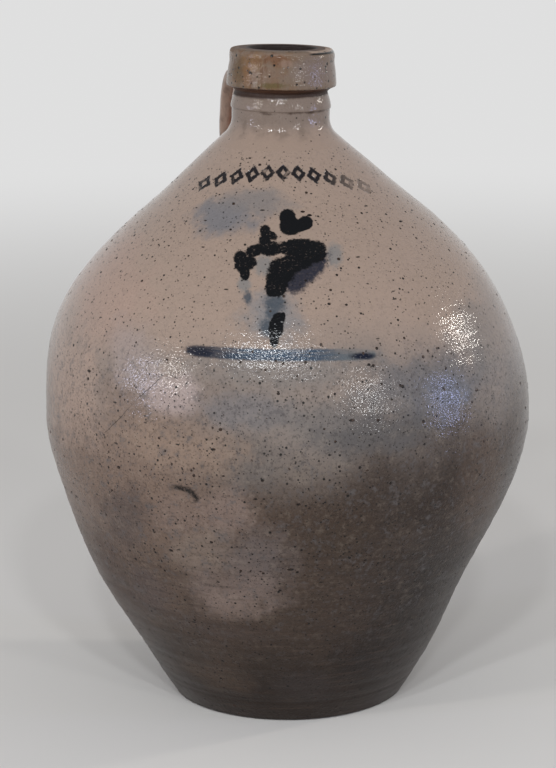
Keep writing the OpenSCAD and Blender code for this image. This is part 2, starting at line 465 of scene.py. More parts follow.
@dataclass(frozen=True)
class Brushwork:
    """Cobalt brushed on the front: a heart bloom and buds on a leafy stem over a ground line."""

    thick: Colour = srgb(9, 11, 15)
    flank: Colour = srgb(44, 44, 54)
    wash: Colour = srgb(60, 70, 80)
    thin: Colour = srgb(112, 116, 118)
    navy: Colour = srgb(6, 16, 36)
    worn: Colour = srgb(26, 58, 82)
    faint: Colour = srgb(76, 90, 98)
    petals: tuple[Oval, ...] = ovals(
        (2.3, 301.6, 4.8, 4.2), (12.2, 299.0, 4.5, 3.3), (4.0, 297.6, 6.6, 4.4), (9.0, 297.5, 4.6, 2.8))
    leaves: tuple[Oval, ...] = ovals(
        (-10.2, 295.3, 3.0, 3.0), (-8.4, 293.4, 5.0, 2.5, -11), (-10.4, 290.8, 3.8, 2.8),
        (-24.0, 282.2, 4.2, 3.6), (-22.6, 279.2, 5.0, 4.0), (-21.6, 275.4, 2.9, 3.8),
        (-19.2, 280.4, 4.4, 3.2), (-16.2, 286.0, 5.4, 3.1, 17), (-7.3, 287.2, 7.8, 3.7),
        (8.7, 287.6, 14.4, 4.1), (18.4, 284.9, 5.6, 5.1), (8.0, 281.3, 11.9, 5.4, 15),
        (-0.8, 276.9, 8.2, 6.6), (-3.5, 271.8, 6.8, 5.9), (-4.7, 267.8, 6.1, 4.0))
    drop: tuple[Oval, ...] = ovals(
        (-3.3, 253.2, 4.0, 3.6, 44), (-4.6, 249.1, 4.3, 5.7), (-5.6, 244.0, 2.7, 5.1),
        (-0.9, 254.8, 1.6, 2.2, -20))
    flanks: tuple[Oval, ...] = ovals((13.4, 276.4, 14.4, 6.2, 35), (5.6, 271.8, 8.0, 6.6))
    washes: tuple[Oval, ...] = ovals(
        (-4.9, 261.4, 7.2, 6.0), (-6.6, 256.4, 5.0, 4.0), (-10.0, 249.1, 4.2, 5.7),
        (-20.0, 263.8, 2.7, 3.8))
    tips: tuple[Oval, ...] = ovals(
        (28.0, 283.2, 5.6, 6.6), (-11.2, 279.3, 6.6, 5.8), (-22.0, 270.0, 4.2, 4.6))
    ground: Oval = Oval(-2.0, 235.5, 52.2, 3.5, -0.8)
    ground_start: Oval = Oval(-47.1, 236.0, 9.4, 3.2)
    ground_end: Oval = Oval(43.0, 233.1, 8.6, 2.1, -4)

    def lay(self, tree: Surface) -> Sock:
        """Lays the brushwork on a material.

        Args:
            tree: The material.

        Returns:
            How thick the cobalt lies, from 0 to 1.
        """
        ragged = tree.stray(2.2, 4.0, 0.7, 0.6)
        broken = tree.cloudy(1.3, 2.0, 0.6)
        for group, shade, share, core in ((self.tips, self.thin, 0.65, 0.45),
                                          (self.washes, self.wash, 0.85, 0.4),
                                          (self.flanks, self.flank, 1.0, 0.6)):
            soft = tree.patch(group, 1.2, core, ragged * 1.9)
            tree.lay(soft * (broken * 0.4 + 0.8) * share, shade)
        line = self.ground_line(tree, ragged)
        leaf = tree.patch(self.leaves, 1.08, 0.84, ragged * 1.3)
        leaf = leaf * (tree.between(broken, 0.2, 0.42) * 0.35 + 0.65)
        petal = tree.patch(self.petals, 1.06, 0.9, ragged * 0.7)
        drop = tree.patch(self.drop, 1.08, 0.84, ragged * 0.6)
        dark = tree.greatest(leaf, petal, drop)
        tree.lay(dark, self.thick)
        return tree.greatest(dark, line * 0.6)

    def ground_line(self, tree: Surface, ragged: Sock) -> Sock:
        """Brushes the ground line under the sprig: dark at both ends and worn thin between.

        Args:
            tree: The material.
            ragged: How far edges stray.

        Returns:
            1 where the line is and 0 outside.
        """
        along, over, behind = tree.split(self.ground.local(tree, tree.plane))
        length = abs(along)
        sagged = over + tree.between(along, 0.35, 1.0) * 0.35
        inside = tree.between(abs(sagged) + ragged * 0.8 + length ** 14.0 * 0.5, 1.1, 0.62)
        inside = inside * tree.between(length + ragged * 0.03, 1.015, 0.98) * (1.0 - behind)
        streak = tree.noise(tree.stretched(0.14, 1.5), 1.5, 2.0, 0.6)
        fades = tree.between(along, 0.3, 0.85)
        worn = 0.92 - fades * (tree.between(sagged, -0.2, 0.6) * 0.35 + 0.2)
        body = tree.mix(fades, self.worn, self.faint)
        body = tree.mix(tree.between(along, -0.25, -0.85) * 0.95, body, self.navy)
        tree.lay(inside * worn * (tree.between(streak, 0.3, 0.6) * 0.3 + 0.7), body)
        start = tree.patch([self.ground_start], 1.15, 0.3, ragged * 0.5)
        end = tree.patch([self.ground_end], 1.2, 0.4, ragged * 0.8)
        ends = tree.greatest(start * 0.85, end)
        tree.lay(ends, self.navy)
        return tree.greatest(inside, ends)


@dataclass(frozen=True)
class StampedRow:
    """A row of plain lozenges pressed in an arc on the shoulder and rubbed with cobalt.

    The pitch and the half row are in degrees round the jug. Fall is how far the row drops over its half.
    """

    ink: Colour = srgb(14, 15, 22)
    pitch: float = 9.9
    count: float = 11.0
    crest: float = 323.6
    fall: float = 9.0
    slope: float = 1.2
    half_row: float = 50.0
    shoulder_r: float = 55.5
    half_width: float = 4.5
    half_height: float = 3.9
    worn_side: Band = (52, 20)

    def lay(self, tree: Surface) -> Sock:
        """Presses the row into a material.

        Args:
            tree: The material.

        Returns:
            How deep it is pressed, from 0 to 1.
        """
        cell = tree.turn() * (1.0 / math.radians(self.pitch)) + 0.5
        index = tree.math("FLOOR", cell)
        side = (cell - index - 0.5) * (math.radians(self.pitch) * self.shoulder_r / self.half_width)
        share = index * (self.pitch / self.half_row)
        middle = share * share * (-self.fall * MM) - share * (self.slope * MM) + self.crest * MM
        reach = abs(side) + abs((tree.up - middle) * (1.0 / (self.half_height * MM)))
        ragged = tree.stray(1.8, 2.0, 0.6, 0.8)
        edge = tree.between(reach + ragged, 1.2, 0.98)
        hollow = tree.between(reach + ragged * 0.5, 0.46, 0.3)
        shown = tree.between(abs(index), self.count / 2, self.count / 2 - 0.1)
        pressed = edge * shown * (1.0 - hollow)
        worn = tree.band(tree.across, self.worn_side) * 0.55 + 0.42
        blot = tree.between(tree.cloudy(6.0, 2.0, 0.6), 0.28, 0.46)
        tree.lay(pressed * worn * (blot * 0.7 + 0.3), self.ink)
        return pressed


@dataclass(frozen=True)
class BodyGlaze:
    """Salt glaze of the body: warm tan above, mottled grey at the middle, dark brown to the foot, which is
    partly painted shade.
    """

    slot: Slot = Slot.BODY
    tan: Colour = srgb(156, 137, 124)
    middle: Colour = srgb(126, 116, 110)
    # The low and foot browns are partly painted shade: they darken the body towards the foot.
    low: Colour = srgb(68, 54, 45)
    foot: Colour = srgb(38, 27, 20)
    # This warm colour is partly painted light on the left side; it also colours streaks near the foot.
    warm_streak_and_painted_light: Colour = srgb(124, 103, 90)
    # This dark colour is partly painted shade on the lower right; it also colours dark streaks near the
    # foot.
    dark_streak_and_painted_shade: Colour = srgb(34, 22, 16)
    pale: Colour = srgb(156, 144, 132)
    grey: Colour = srgb(90, 86, 86)
    speck: Colour = srgb(14, 9, 7)
    middle_band: Band = (262, 202)
    low_band: Band = (205, 138)
    foot_band: Band = (96, 18)
    # Bands of the painted light on the left and of the painted shade on the lower right.
    painted_light_side: Band = (5, -80)
    painted_light_low: Band = (60, 150)
    painted_light_high: Band = (235, 190)
    painted_shade_side: Band = (-5, 80)
    painted_shade_band: Band = (236, 140)
    mottle_high: Band = (250, 210)
    mottle_low: Band = (10, 120)
    streak_band: Band = (180, 80)
    dull_band: Band = (190, 110)
    crowd_band: Band = (240, 200)
    press_depth: float = 0.4
    cobalt_depth: float = 0.03
    clouds: tuple[Cloud, ...] = clouds(
        ((-104, 262, 34, 42), (164, 139, 126), 0.6),
        ((98, 262, 36, 28), (152, 133, 119), 0.65),
        ((-31.7, 301.5, 24, 10.5, 8), (116, 114, 117), 0.95, 0.4),
        ((-18, 309.5, 26, 8.0), (124, 118, 116), 0.8),
        ((-8, 256, 20, 16), (120, 122, 126), 0.75),
        ((-2, 228, 64, 13), (119, 114, 111), 0.65),
        # These two pale lilac patches on the left are partly painted highlight, where a light glints on the
        # glaze.
        ((-84, 228, 17, 22), (150, 138, 134), 0.6),
        ((-62, 212, 20, 13), (168, 152, 148), 0.75),
        ((84, 213, 50, 22), (101, 99, 101), 0.8),
        # This blue patch is a painted reflection of a blue light.
        ((90, 206, 17, 14), (98, 102, 114), 0.7),
        ((112, 234, 22, 26), (118, 112, 108), 0.65),
        ((-22, 206, 30, 13), (112, 108, 109), 0.8),
        ((28, 199, 40, 15), (107, 102, 100), 0.65),
        ((50, 190, 42, 13), (84, 81, 81), 0.8),
        ((-18, 176, 20, 20), (98, 92, 89), 0.7),
        ((-62, 184, 48, 16, -6), (136, 116, 102), 0.8),
        ((12, 173, 24, 9), (114, 103, 95), 0.5),
        # Below the belly, the paler patches at (-58, 142), (-32, 147), (-46, 120), (-28, 98) and (-32, 86)
        # are partly painted light, and the dark ones at (32, 128), (64, 126), (88, 70) and (54, 40) are
        # partly painted shade.
        ((-91, 134, 17, 30, -10), (84, 71, 66), 0.85),
        ((-58, 142, 20, 18), (122, 104, 95), 0.7),
        ((-32, 147, 20, 17), (130, 112, 104), 0.7),
        ((-46, 120, 26, 20), (122, 107, 97), 0.75),
        ((-16, 116, 26, 26), (102, 91, 88), 0.8),
        ((32, 128, 24, 26), (60, 47, 38), 0.8),
        ((64, 126, 20, 15), (68, 56, 48), 0.5),
        ((-28, 98, 36, 16), (112, 97, 91), 0.8),
        ((-80, 88, 16, 20, 20), (80, 67, 63), 0.75),
        ((-32, 86, 24, 14), (126, 109, 101), 0.7),
        ((-36, 67, 38, 8, -8), (66, 53, 47), 0.7),
        ((88, 70, 38, 56), (24, 12, 6), 0.9),
        ((10, 26, 22, 14), (50, 42, 40), 0.6),
        ((54, 40, 30, 34), (24, 13, 8), 0.85),
        ((-42, 32, 28, 16), (72, 57, 46), 0.6),
        ((112, 150, 20, 42), (80, 63, 52), 0.6),
        ((-106, 80, 26, 54), (58, 36, 25), 0.7),
        ((-124, 206, 28, 40), (160, 138, 124), 0.7),
        ((126, 246, 18, 34), (132, 118, 108), 0.7),
    )
    scar: tuple[Oval, ...] = ovals((-56.2, 156.6, 7.6, 4.4, -20))
    scar_inside: tuple[Oval, ...] = ovals((-58.4, 154.4, 7.2, 4.2, -20))
    scratches: tuple[Oval, ...] = ovals((-75.0, 214.0, 13.4, 0.30, 44), (-94.2, 192.8, 15.8, 0.28, 49))
    scratch_wander: float = 2.2
    brushwork: Brushwork = Brushwork()
    stamps: StampedRow = StampedRow()

    def build(self) -> bpy.types.Material:
        """Makes the finish.

        Returns:
            The material of the body.
        """
        tree = Surface("body_glaze", self.tan)
        self.zones(tree)
        ragged = tree.stray(15, 5.0, 0.66, 1.7)
        for cloud in self.clouds:
            cloud.lay(tree, ragged)
        self.mottle(tree)
        self.scars(tree)
        thick = self.brushwork.lay(tree)
        pressed = self.stamps.lay(tree)
        spots = self.spots(tree)
        height = (tree.orange_peel(1.0) - pressed * (self.press_depth * MM)
                  + thick * (self.cobalt_depth * MM))
        dull = tree.cloudy(24, 3.0, 0.6)
        low = tree.band(tree.up, self.dull_band)
        roughness = tree.between(dull, 0.3, 0.7) * 0.06 + 0.10 + low * 0.22 + spots * 0.2
        return tree.finish(roughness, height)

    def zones(self, tree: Surface) -> None:
        """Lays the colours by height, with cloudy borders, with painted light at left and painted shade at
        lower right.

        Args:
            tree: The material.
        """
        height = tree.up + tree.stray(45, 3.0, 0.55, 60 * MM)
        # The low and foot bands darken the body towards the foot, partly as painted shade.
        for band, shade in ((self.middle_band, self.middle), (self.low_band, self.low),
                            (self.foot_band, self.foot)):
            tree.lay(tree.band(height, band), shade)
        # Painted light on the left.
        left = (tree.band(tree.across, self.painted_light_side) * tree.band(height, self.painted_light_low)
                * tree.band(height, self.painted_light_high))
        tree.lay(left * 0.75, self.warm_streak_and_painted_light)
        # Painted shade on the lower right.
        right = tree.band(tree.across, self.painted_shade_side) * tree.band(height, self.painted_shade_band)
        tree.lay(right * 0.78, self.dark_streak_and_painted_shade)

    def mottle(self, tree: Surface) -> None:
        """Breaks the colour into paler and greyer flecks, and into level streaks near the foot.

        Args:
            tree: The material.
        """
        middle = tree.band(tree.up, self.mottle_high) * tree.band(tree.up, self.mottle_low)
        grain = tree.cloudy(6.0, 6.0, 0.74)
        fine = tree.cloudy(1.8, 2.0, 0.6)
        for pattern, full, more, least, shade in ((grain, 0.68, 0.15, 0.02, self.pale),
                                                  (grain, 0.32, 0.55, 0.10, self.grey),
                                                  (fine, 0.3, 0.24, 0.12, self.speck)):
            tree.lay(tree.between(pattern, 0.5, full) * (middle * more + least), shade)
        streak = tree.noise(tree.stretched(0.09, 1.0), 2.4, 4.0, 0.65)
        low = tree.band(tree.up, self.streak_band)
        tree.lay(tree.between(streak, 0.52, 0.72) * low * 0.12, self.warm_streak_and_painted_light)
        tree.lay(tree.between(streak, 0.5, 0.3) * low * 0.34, self.dark_streak_and_painted_shade)

    def scars(self, tree: Surface) -> None:
        """Adds the crescent kiln scar and the long fine scratch on the left.

        Args:
            tree: The material.
        """
        wander = tree.stray(9, 3.0, 0.55)
        outer = tree.patch(self.scar, 1.25, 0.8, wander)
        inner = tree.patch(self.scar_inside, 0.85, 1.2, wander)
        torn = tree.between(tree.cloudy(1.6, 3.0, 0.66), 0.3, 0.6) * 0.6 + 0.4
        tree.lay(outer * inner * torn, self.speck)
        bent = tree.vector("ADD", tree.plane, tree.join(wander * (self.scratch_wander * MM), 0.0, 0.0))
        tree.lay(tree.patch(self.scratches, 1.2, 0.5, place=bent) * 0.6, self.speck)

    def spots(self, tree: Surface) -> Sock:
        """Adds iron spots in the glaze that are too small to stand proud.

        Args:
            tree: The material.

        Returns:
            1 in a spot and 0 outside.
        """
        crowd = (tree.between(tree.cloudy(42, 3.0, 0.6), 0.4, 0.6) * 0.6
                 + tree.band(tree.up, self.crowd_band) * 0.4)
        dust = tree.specks(1.9, 0.21, 0.7) * (crowd * 0.65 + 0.35)
        tiny = tree.specks(2.8, 0.21, 0.7) * (crowd * 0.2 + 0.8)
        small = tree.specks(4.6, 0.17, 0.62)
        dash = tree.specks(4.6, 0.10, 0.25, tree.stretched(0.3, 1.0)) * 0.9
        spots = tree.greatest(dust, tiny, small, dash)
        tree.lay(spots, self.speck)
        return spots


@dataclass(frozen=True)
class NeckGlaze:
    """Salt glaze of the neck: the body's tan below, browner above, dark brown under the bead and the collar
    that is partly painted shade, with brown slip down the bore.
    """

    slot: Slot = Slot.NECK
    tan: Colour = srgb(153, 134, 121)
    clay: Colour = srgb(122, 108, 99)
    shade: Colour = srgb(101, 86, 75)
    # The groove colour is partly painted shade: it darkens the groove under the collar and paints a shadow
    # line under the bead.
    groove: Colour = srgb(42, 22, 12)
    # The fillet colour is partly painted shade, on the chamfer under the collar.
    fillet: Colour = srgb(84, 58, 44)
    slip: Colour = srgb(34, 22, 18)
    speck: Colour = srgb(34, 26, 22)
    clay_band: Band = (337, 350)
    # Bands of a painted shadow under the bead.
    painted_bead_shadow_low: Band = (353.0, 354.2)
    painted_bead_shadow_high: Band = (355.4, 354.6)
    groove_band: Band = (362.0, 363.4)
    fillet_band: Band = (365.4, 366.6)
    bore_band: Band = (21.4, 20.2)
    spot_depth: float = 0.15

    def build(self) -> bpy.types.Material:
        """Makes the finish.

        Returns:
            The material of the neck.
        """
        tree = Surface("neck_glaze", self.tan)
        cloudy = tree.cloudy(11, 4.0, 0.62)
        rising = tree.band(tree.up + (cloudy - 0.5) * (12 * MM), self.clay_band)
        tree.lay(rising, self.clay)
        tree.lay(tree.between(cloudy, 0.45, 0.66) * rising * 0.5, self.shade)
        uneven = tree.up + (cloudy - 0.5) * (1.6 * MM)
        # Painted shadow: a thin, broken dark line just under the bead.
        under = tree.band(uneven, self.painted_bead_shadow_low) * tree.band(uneven, self.painted_bead_shadow_high)
        tree.lay(under * tree.between(cloudy, 0.4, 0.64) * 0.75, self.groove)
        # The groove under the collar, dark brown and partly painted shade.
        groove = tree.band(uneven, self.groove_band)
        tree.lay(groove * 0.97, self.groove)
        # The chamfer under the collar, darkened partly as painted shade.
        tree.lay(tree.band(uneven, self.fillet_band) * 0.8, self.fillet)
        run = tree.radius() + tree.stray(6, 2.0, 0.6, 2.4 * MM)
        tree.lay(tree.band(run, self.bore_band), self.slip)
        spots = tree.greatest(tree.specks(3.2, 0.14, 0.55) * 0.7, tree.specks(6.0, 0.12, 0.55) * 0.95)
        tree.lay(spots, self.speck)
        return tree.finish(groove * 0.5 + 0.05, tree.orange_peel(0.9) - spots * (self.spot_depth * MM))


@dataclass(frozen=True)
class CollarGlaze:
    """Salt glaze of the collar: iron and ochre flashing on taupe, with black pits and a chip.

    The rim's height is written as its middle, and then how fast it rises to the right and to the back.
    """

    slot: Slot = Slot.NECK
    clay: Colour = srgb(113, 97, 84)
    ochre: Colour = srgb(112, 82, 52)
    iron: Colour = srgb(90, 60, 40)
    pit: Colour = srgb(24, 18, 16)
    bare: Colour = srgb(160, 138, 122)
    flashes: tuple[Cloud, ...] = clouds(
        ((-31, 380, 8, 12), (110, 92, 78), 0.8),
        ((-25, 378, 5, 10), (88, 68, 44), 0.9),
        ((-20.5, 377, 3.4, 9), (112, 80, 50), 0.8),
        ((-16, 383, 8, 6), (112, 82, 52), 0.8),
        ((-2, 385, 12, 4), (104, 72, 50), 0.85),
        ((3, 383, 5, 3), (136, 114, 100), 0.7),
        ((-8, 376, 12, 6), (112, 92, 78), 0.7),
        ((-6, 370.6, 11, 2.0), (88, 75, 44), 0.85),
        ((18, 378, 16, 9), (114, 100, 94), 0.8),
    )
    flashed_side: Band = (16, -12)
    worn_band: Band = (387.2, 388.8)
    pit_depth: float = 0.35
    chip_turn: float = 68.0
    chip_half_turn: float = 39.0
    chip_round: Band = (20.8, 21.8)
    chip_bare: Band = (1.3, 0.9)
    chip_edge: Band = (2.4, 2.0)
    rim: tuple[float, float, float] = (389.4, -0.0244, -0.0175)

    def build(self) -> bpy.types.Material:
        """Makes the finish.

        Returns:
            The material of the collar.
        """
        tree = Surface("collar_glaze", self.clay)
        cloudy = tree.cloudy(9, 4.0, 0.62)
        side = tree.band(tree.across, self.flashed_side)
        tree.lay(tree.between(cloudy, 0.44, 0.64) * (side * 0.7 + 0.08), self.ochre)
        ragged = tree.stray(5, 4.0, 0.64, 1.6)
        for flash in self.flashes:
            flash.lay(tree, ragged)
        streaks = tree.noise(tree.stretched(1.0, 0.25), 2.6, 3.0, 0.62)
        tree.lay(tree.between(streaks, 0.50, 0.68) * (side * 0.5 + 0.08), self.iron)
        self.break_edge(tree, ragged)
        spots = tree.greatest(tree.specks(2.6, 0.16, 0.5) * 0.7, tree.specks(3.7, 0.25, 0.75))
        tree.lay(spots, self.pit)
        worn = tree.band(tree.up, self.worn_band)
        return tree.finish(worn * 0.5 + 0.1, tree.orange_peel(1.5) - spots * (self.pit_depth * MM))

    def break_edge(self, tree: Surface, ragged: Sock) -> None:
        """Bares the clay where the rim is chipped and paints a dark line along the chip's lower edge.

        Args:
            tree: The material.
            ragged: How far edges stray.
        """
        aside = abs(tree.turn() - math.radians(self.chip_turn)) + ragged * 0.03
        half = math.radians(self.chip_half_turn)
        window = tree.between(aside, half, half - 0.12)
        inside = tree.band(tree.radius(), self.chip_round)
        middle, to_right, to_back = self.rim
        rim = tree.across * to_right + tree.away * to_back + middle * MM
        under = rim - tree.up + ragged * (0.2 * MM)
        tree.lay(window * tree.band(under, self.chip_edge), self.pit)
        tree.lay(window * inside * tree.band(under, self.chip_bare), self.bare)


@dataclass(frozen=True)
class StrapGlaze:
    """Salt glaze of the strap handle: red-brown towards the neck and underneath, partly painted shade, and
    greyer on its outer side and edges, the edges partly painted highlight.
    """

    slot: Slot = Slot.HANDLE
    # The red-brown is partly painted shade, kept on faces turned to the neck and down.
    inner: Colour = srgb(122, 80, 62)
    outer: Colour = srgb(156, 135, 121)
    dark: Colour = srgb(84, 66, 56)
    speck: Colour = srgb(44, 33, 27)
    # Band of the painted highlight along the strap's rounded edges.
    painted_highlight_edge_band: Band = (12.5, 18)
    pull_depth: float = 0.25
    spot_depth: float = 0.12

    def build(self) -> bpy.types.Material:
        """Makes the finish.

        Returns:
            The material of the strap.
        """
        tree = Surface("strap_glaze", self.inner)
        _, back, lift = tree.split(tree.node("ShaderNodeNewGeometry", None, None, "Normal"))
        level, _, _ = tree.split(tree.point)
        cloudy = tree.cloudy(14, 3.0, 0.6)
        # Painted shade: faces turned to the neck and down keep the red-brown, while faces turned out and up
        # get the greyer colour.
        outward = tree.between(back + lift * 0.5 + (cloudy - 0.5) * 0.8, -0.25, 0.25)
        # Painted highlight: the strap's rounded edges get the lighter, greyer colour too.
        edge = tree.band(abs(level) + (cloudy - 0.5) * (6 * MM), self.painted_highlight_edge_band)
        tree.lay(tree.greatest(outward, edge * 0.85), self.outer)
        tree.lay(tree.between(cloudy, 0.5, 0.68) * 0.5, self.dark)
        pulled = tree.noise(tree.stretched(1.0, 0.14), 1.6, 2.0, 0.6)
        tree.lay(tree.between(pulled, 0.5, 0.7) * 0.25, self.dark)
        spots = tree.specks(4.2, 0.15, 0.5)
        tree.lay(spots * 0.8, self.speck)
        height = (tree.orange_peel(0.8) + pulled * (self.pull_depth * MM)
                  - spots * (self.spot_depth * MM))
        return tree.finish(0.34, height)


@dataclass(frozen=True)
class SlipCoat:
    """Dark brown slip that lines the inside, thin and streaky where it ran."""

    slot: Slot = Slot.SLIP
    thick: Colour = srgb(38, 25, 20)
    thin: Colour = srgb(66, 44, 32)

    def build(self) -> bpy.types.Material:
        """Makes the finish.

        Returns:
            The material of the inside.
        """
        tree = Surface("slip_coat", self.thick)
        runs = tree.noise(tree.stretched(1.0, 0.3), 9, 3.0, 0.6)
        tree.lay(tree.between(runs, 0.5, 0.7) * 0.7, self.thin)
        return tree.finish(0.32, tree.orange_peel(0.6, 2.0))


@dataclass(frozen=True)
class IronBlister:
    """Iron that melted out of the clay into near-black blisters with rusty rims."""

    slot: Slot = Slot.BODY
    core: Colour = srgb(13, 10, 8)
    rust: Colour = srgb(58, 40, 30)

    def build(self) -> bpy.types.Material:
        """Makes the finish.

        Returns:
            The material of a blister.
        """
        tree = Surface("iron_blister", self.core)
        tree.lay(tree.between(tree.cloudy(1.2, 2.0, 0.6), 0.42, 0.62), self.rust)
        return tree.finish(0.36, tree.orange_peel(0.5, 0.6))


def bend(start: np.ndarray, corner: np.ndarray, end: np.ndarray, steps: int) -> np.ndarray:
    """Returns a smooth bend between two points that heads for a corner, without its last point.

    Args:
        start: Its first point.
        corner: The corner.
        end: Its last point.
        steps: The number of steps.

    Returns:
        One row for each point.
    """
    t = np.linspace(0.0, 1.0, steps, endpoint=False)[:, None]
    return (1 - t) ** 2 * start + 2 * (1 - t) * t * corner + t * t * end


def slope(degrees: float) -> np.ndarray:
    """Returns a step of length 1 that leans outwards from upright by some degrees."""
    lean = math.radians(degrees)
    return np.array([math.sin(lean), math.cos(lean)])


@dataclass(frozen=True)
class Outline:
    """Outside and inside of the jug, as curves of (radius, height). Fields are millimetres."""

    belly_r: float
    belly_z: float
    shoulder_r: float
    shoulder_z: float
    collar_r: float
    seat_z: float
    top_z: float
    foot_r: float = 68.8
    foot_bevel: float = 1.6
    foot_lean: float = 38.0
    foot_pull: float = 15.0
    lower_pull: float = 43.6
    upper_pull: float = 82.0
    shoulder_lean: float = 48.0
    shoulder_pull: float = 89.0
    floor_t: float = 13.0
    floor_corner: float = 16.0
    foot_wall: float = 12.5
    belly_wall: float = 8.5
    shoulder_wall: float = 8.0
    lining_t: float = 0.6
    root_round: float = 13.0
    waist_r: float = 28.4
    bead_r: float = 29.1
    bead_h: float = 7.2
    bead_drop: float = 11.8
    groove_r: float = 26.8
    collar_top_r: float = 30.3
    lip_round: float = 2.6
    spigot_r: float = 25.0
    mouth_r: float = 19.0
    mouth_round: float = 1.4
    throat_round: float = 8.0
    floor_steps: int = 8
    corner_steps: int = 12

    @classmethod
    def read(cls) -> "Outline":
        """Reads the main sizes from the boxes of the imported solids.

        Returns:
            The outline.
        """
        shoulder_low, shoulder_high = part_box("shoulder")
        neck_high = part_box("neck")[1]
        collar_low, collar_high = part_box("collar")
        return cls(belly_r=shoulder_high[0] / MM, belly_z=shoulder_low[2] / MM,
                   shoulder_r=neck_high[0] / MM, shoulder_z=shoulder_high[2] / MM,
                   collar_r=collar_high[0] / MM, seat_z=collar_low[2] / MM, top_z=collar_high[2] / MM)

    def lower_curve(self) -> np.ndarray:
        """Draws the outside from the foot to the widest place.

        Returns:
            The control points of a cubic curve.
        """
        foot = np.array([self.foot_r + self.foot_bevel, self.foot_bevel])
        return np.array([foot, foot + self.foot_pull * slope(self.foot_lean),
                         [self.belly_r, self.belly_z - self.lower_pull], [self.belly_r, self.belly_z]])

    def upper_curve(self) -> np.ndarray:
        """Draws the outside from the widest place to the shoulder's rim.

        Returns:
            The control points of a cubic curve.
        """
        rim = np.array([self.shoulder_r, self.shoulder_z])
        return np.array([[self.belly_r, self.belly_z], [self.belly_r, self.belly_z + self.upper_pull],
                         rim - self.shoulder_pull * slope(-self.shoulder_lean), rim])

    @staticmethod
    def along(curve: np.ndarray, share: np.ndarray) -> np.ndarray:
        """Walks along a cubic curve.

        Args:
            curve: Its control points.
            share: Shares of the way along it.

        Returns:
            One row for each share.
        """
        t = np.asarray(share, float)[:, None]
        return ((1 - t) ** 3 * curve[0] + 3 * (1 - t) ** 2 * t * curve[1]
                + 3 * (1 - t) * t * t * curve[2] + t ** 3 * curve[3])

    def inward(self, curve: np.ndarray, share: np.ndarray, depth: np.ndarray | float) -> np.ndarray:
        """Returns points inside a cubic curve.

        Args:
            curve: Its control points.
            share: Shares of the way along it.
            depth: The depth under it, square to the wall.

        Returns:
            One row for each share.
        """
        t = np.asarray(share, float)[:, None]
        run = (3 * (1 - t) ** 2 * (curve[1] - curve[0]) + 6 * (1 - t) * t * (curve[2] - curve[1])
               + 3 * t * t * (curve[3] - curve[2]))
        run /= np.linalg.norm(run, axis=1)[:, None]
        square = np.stack([-run[:, 1], run[:, 0]], axis=1)
        return self.along(curve, share) + square * np.reshape(depth, (-1, 1))

    def upper_inside(self, share: np.ndarray, skin: float = 0.0) -> np.ndarray:
        """Returns the inside of the upper wall, with a skin of some depth laid on it."""
        wall = self.belly_wall + (self.shoulder_wall - self.belly_wall) * share + skin
        return self.inward(self.upper_curve(), share, wall)

    def lower_inside(self, share: np.ndarray, skin: float = 0.0) -> np.ndarray:
        """Draws the inside of the lower wall from the floor's middle up to the widest place.

        Args:
            share: Shares of the way up the wall.
            skin: The depth of a skin laid on it.

        Returns:
            Rows of radius and height.
        """
        wall = self.foot_wall + (self.belly_wall - self.foot_wall) * share + skin
        side = self.inward(self.lower_curve(), share, wall)
        side = side[side[:, 1] > self.floor_t + self.floor_corner]
        floor = self.floor_t + skin
        run = side[0] - side[1]
        edge = np.array([side[0][0] + run[0] / run[1] * (floor - side[0][1]), floor])
        start = edge - [self.floor_corner, 0.0]
        level = np.linspace([0.0, floor], start, self.floor_steps, endpoint=False)
        return np.vstack([level, bend(start, edge, side[0], self.corner_steps), side])

    def waist_z(self) -> float:
        """Finds the height of the neck's waist, above its round root.

        Returns:
            The height.
        """
        lean = math.radians(self.shoulder_lean)
        root_r = self.waist_r + self.root_round * (1 - math.cos(lean))
        root_z = self.shoulder_z + max(0.0, self.shoulder_r - root_r) / math.tan(lean)
        return root_z + self.root_round * math.sin(lean)


def eased(points: Sequence[Sequence[float]], steps: int) -> np.ndarray:
    """Rounds the corners of a line into a smooth curve that keeps its two ends.

    Args:
        points: The line's corners.
        steps: The steps that each corner takes.

    Returns:
        The curve's points.
    """
    corners = np.array(points, float)
    middles = (corners[:-1] + corners[1:]) / 2
    middles[0] = corners[0]
    middles[-1] = corners[-1]
    runs = [bend(middles[i], corners[i + 1], middles[i + 1], steps) for i in range(len(middles) - 1)]
    return np.vstack([*runs, middles[-1:]])


def arc(middle: Sequence[float], radius: float, start: float, end: float, steps: int) -> np.ndarray:
    """Returns the points of an arc.

    Args:
        middle: Its centre.
        radius: Its radius.
        start: Its first angle, in degrees.
        end: Its last angle, in degrees.
        steps: The number of steps.

    Returns:
        One row for each point.
    """
    turn = np.radians(np.linspace(start, end, steps + 1))[:, None]
    return np.array(middle, float) + radius * np.hstack([np.cos(turn), np.sin(turn)])


def apart(turn: np.ndarray, degrees: float) -> np.ndarray:
    """Returns how far some turns, in radians, lie from a turn in degrees, the short way round."""
    return (turn - math.radians(degrees) + math.pi) % FULL_TURN - math.pi


@dataclass(frozen=True)
class Dent:
    """A shallow press in the soft wall. Degrees from the front, and millimetres."""

    turn: float
    up: float
    half_width: float
    half_height: float
    depth: float


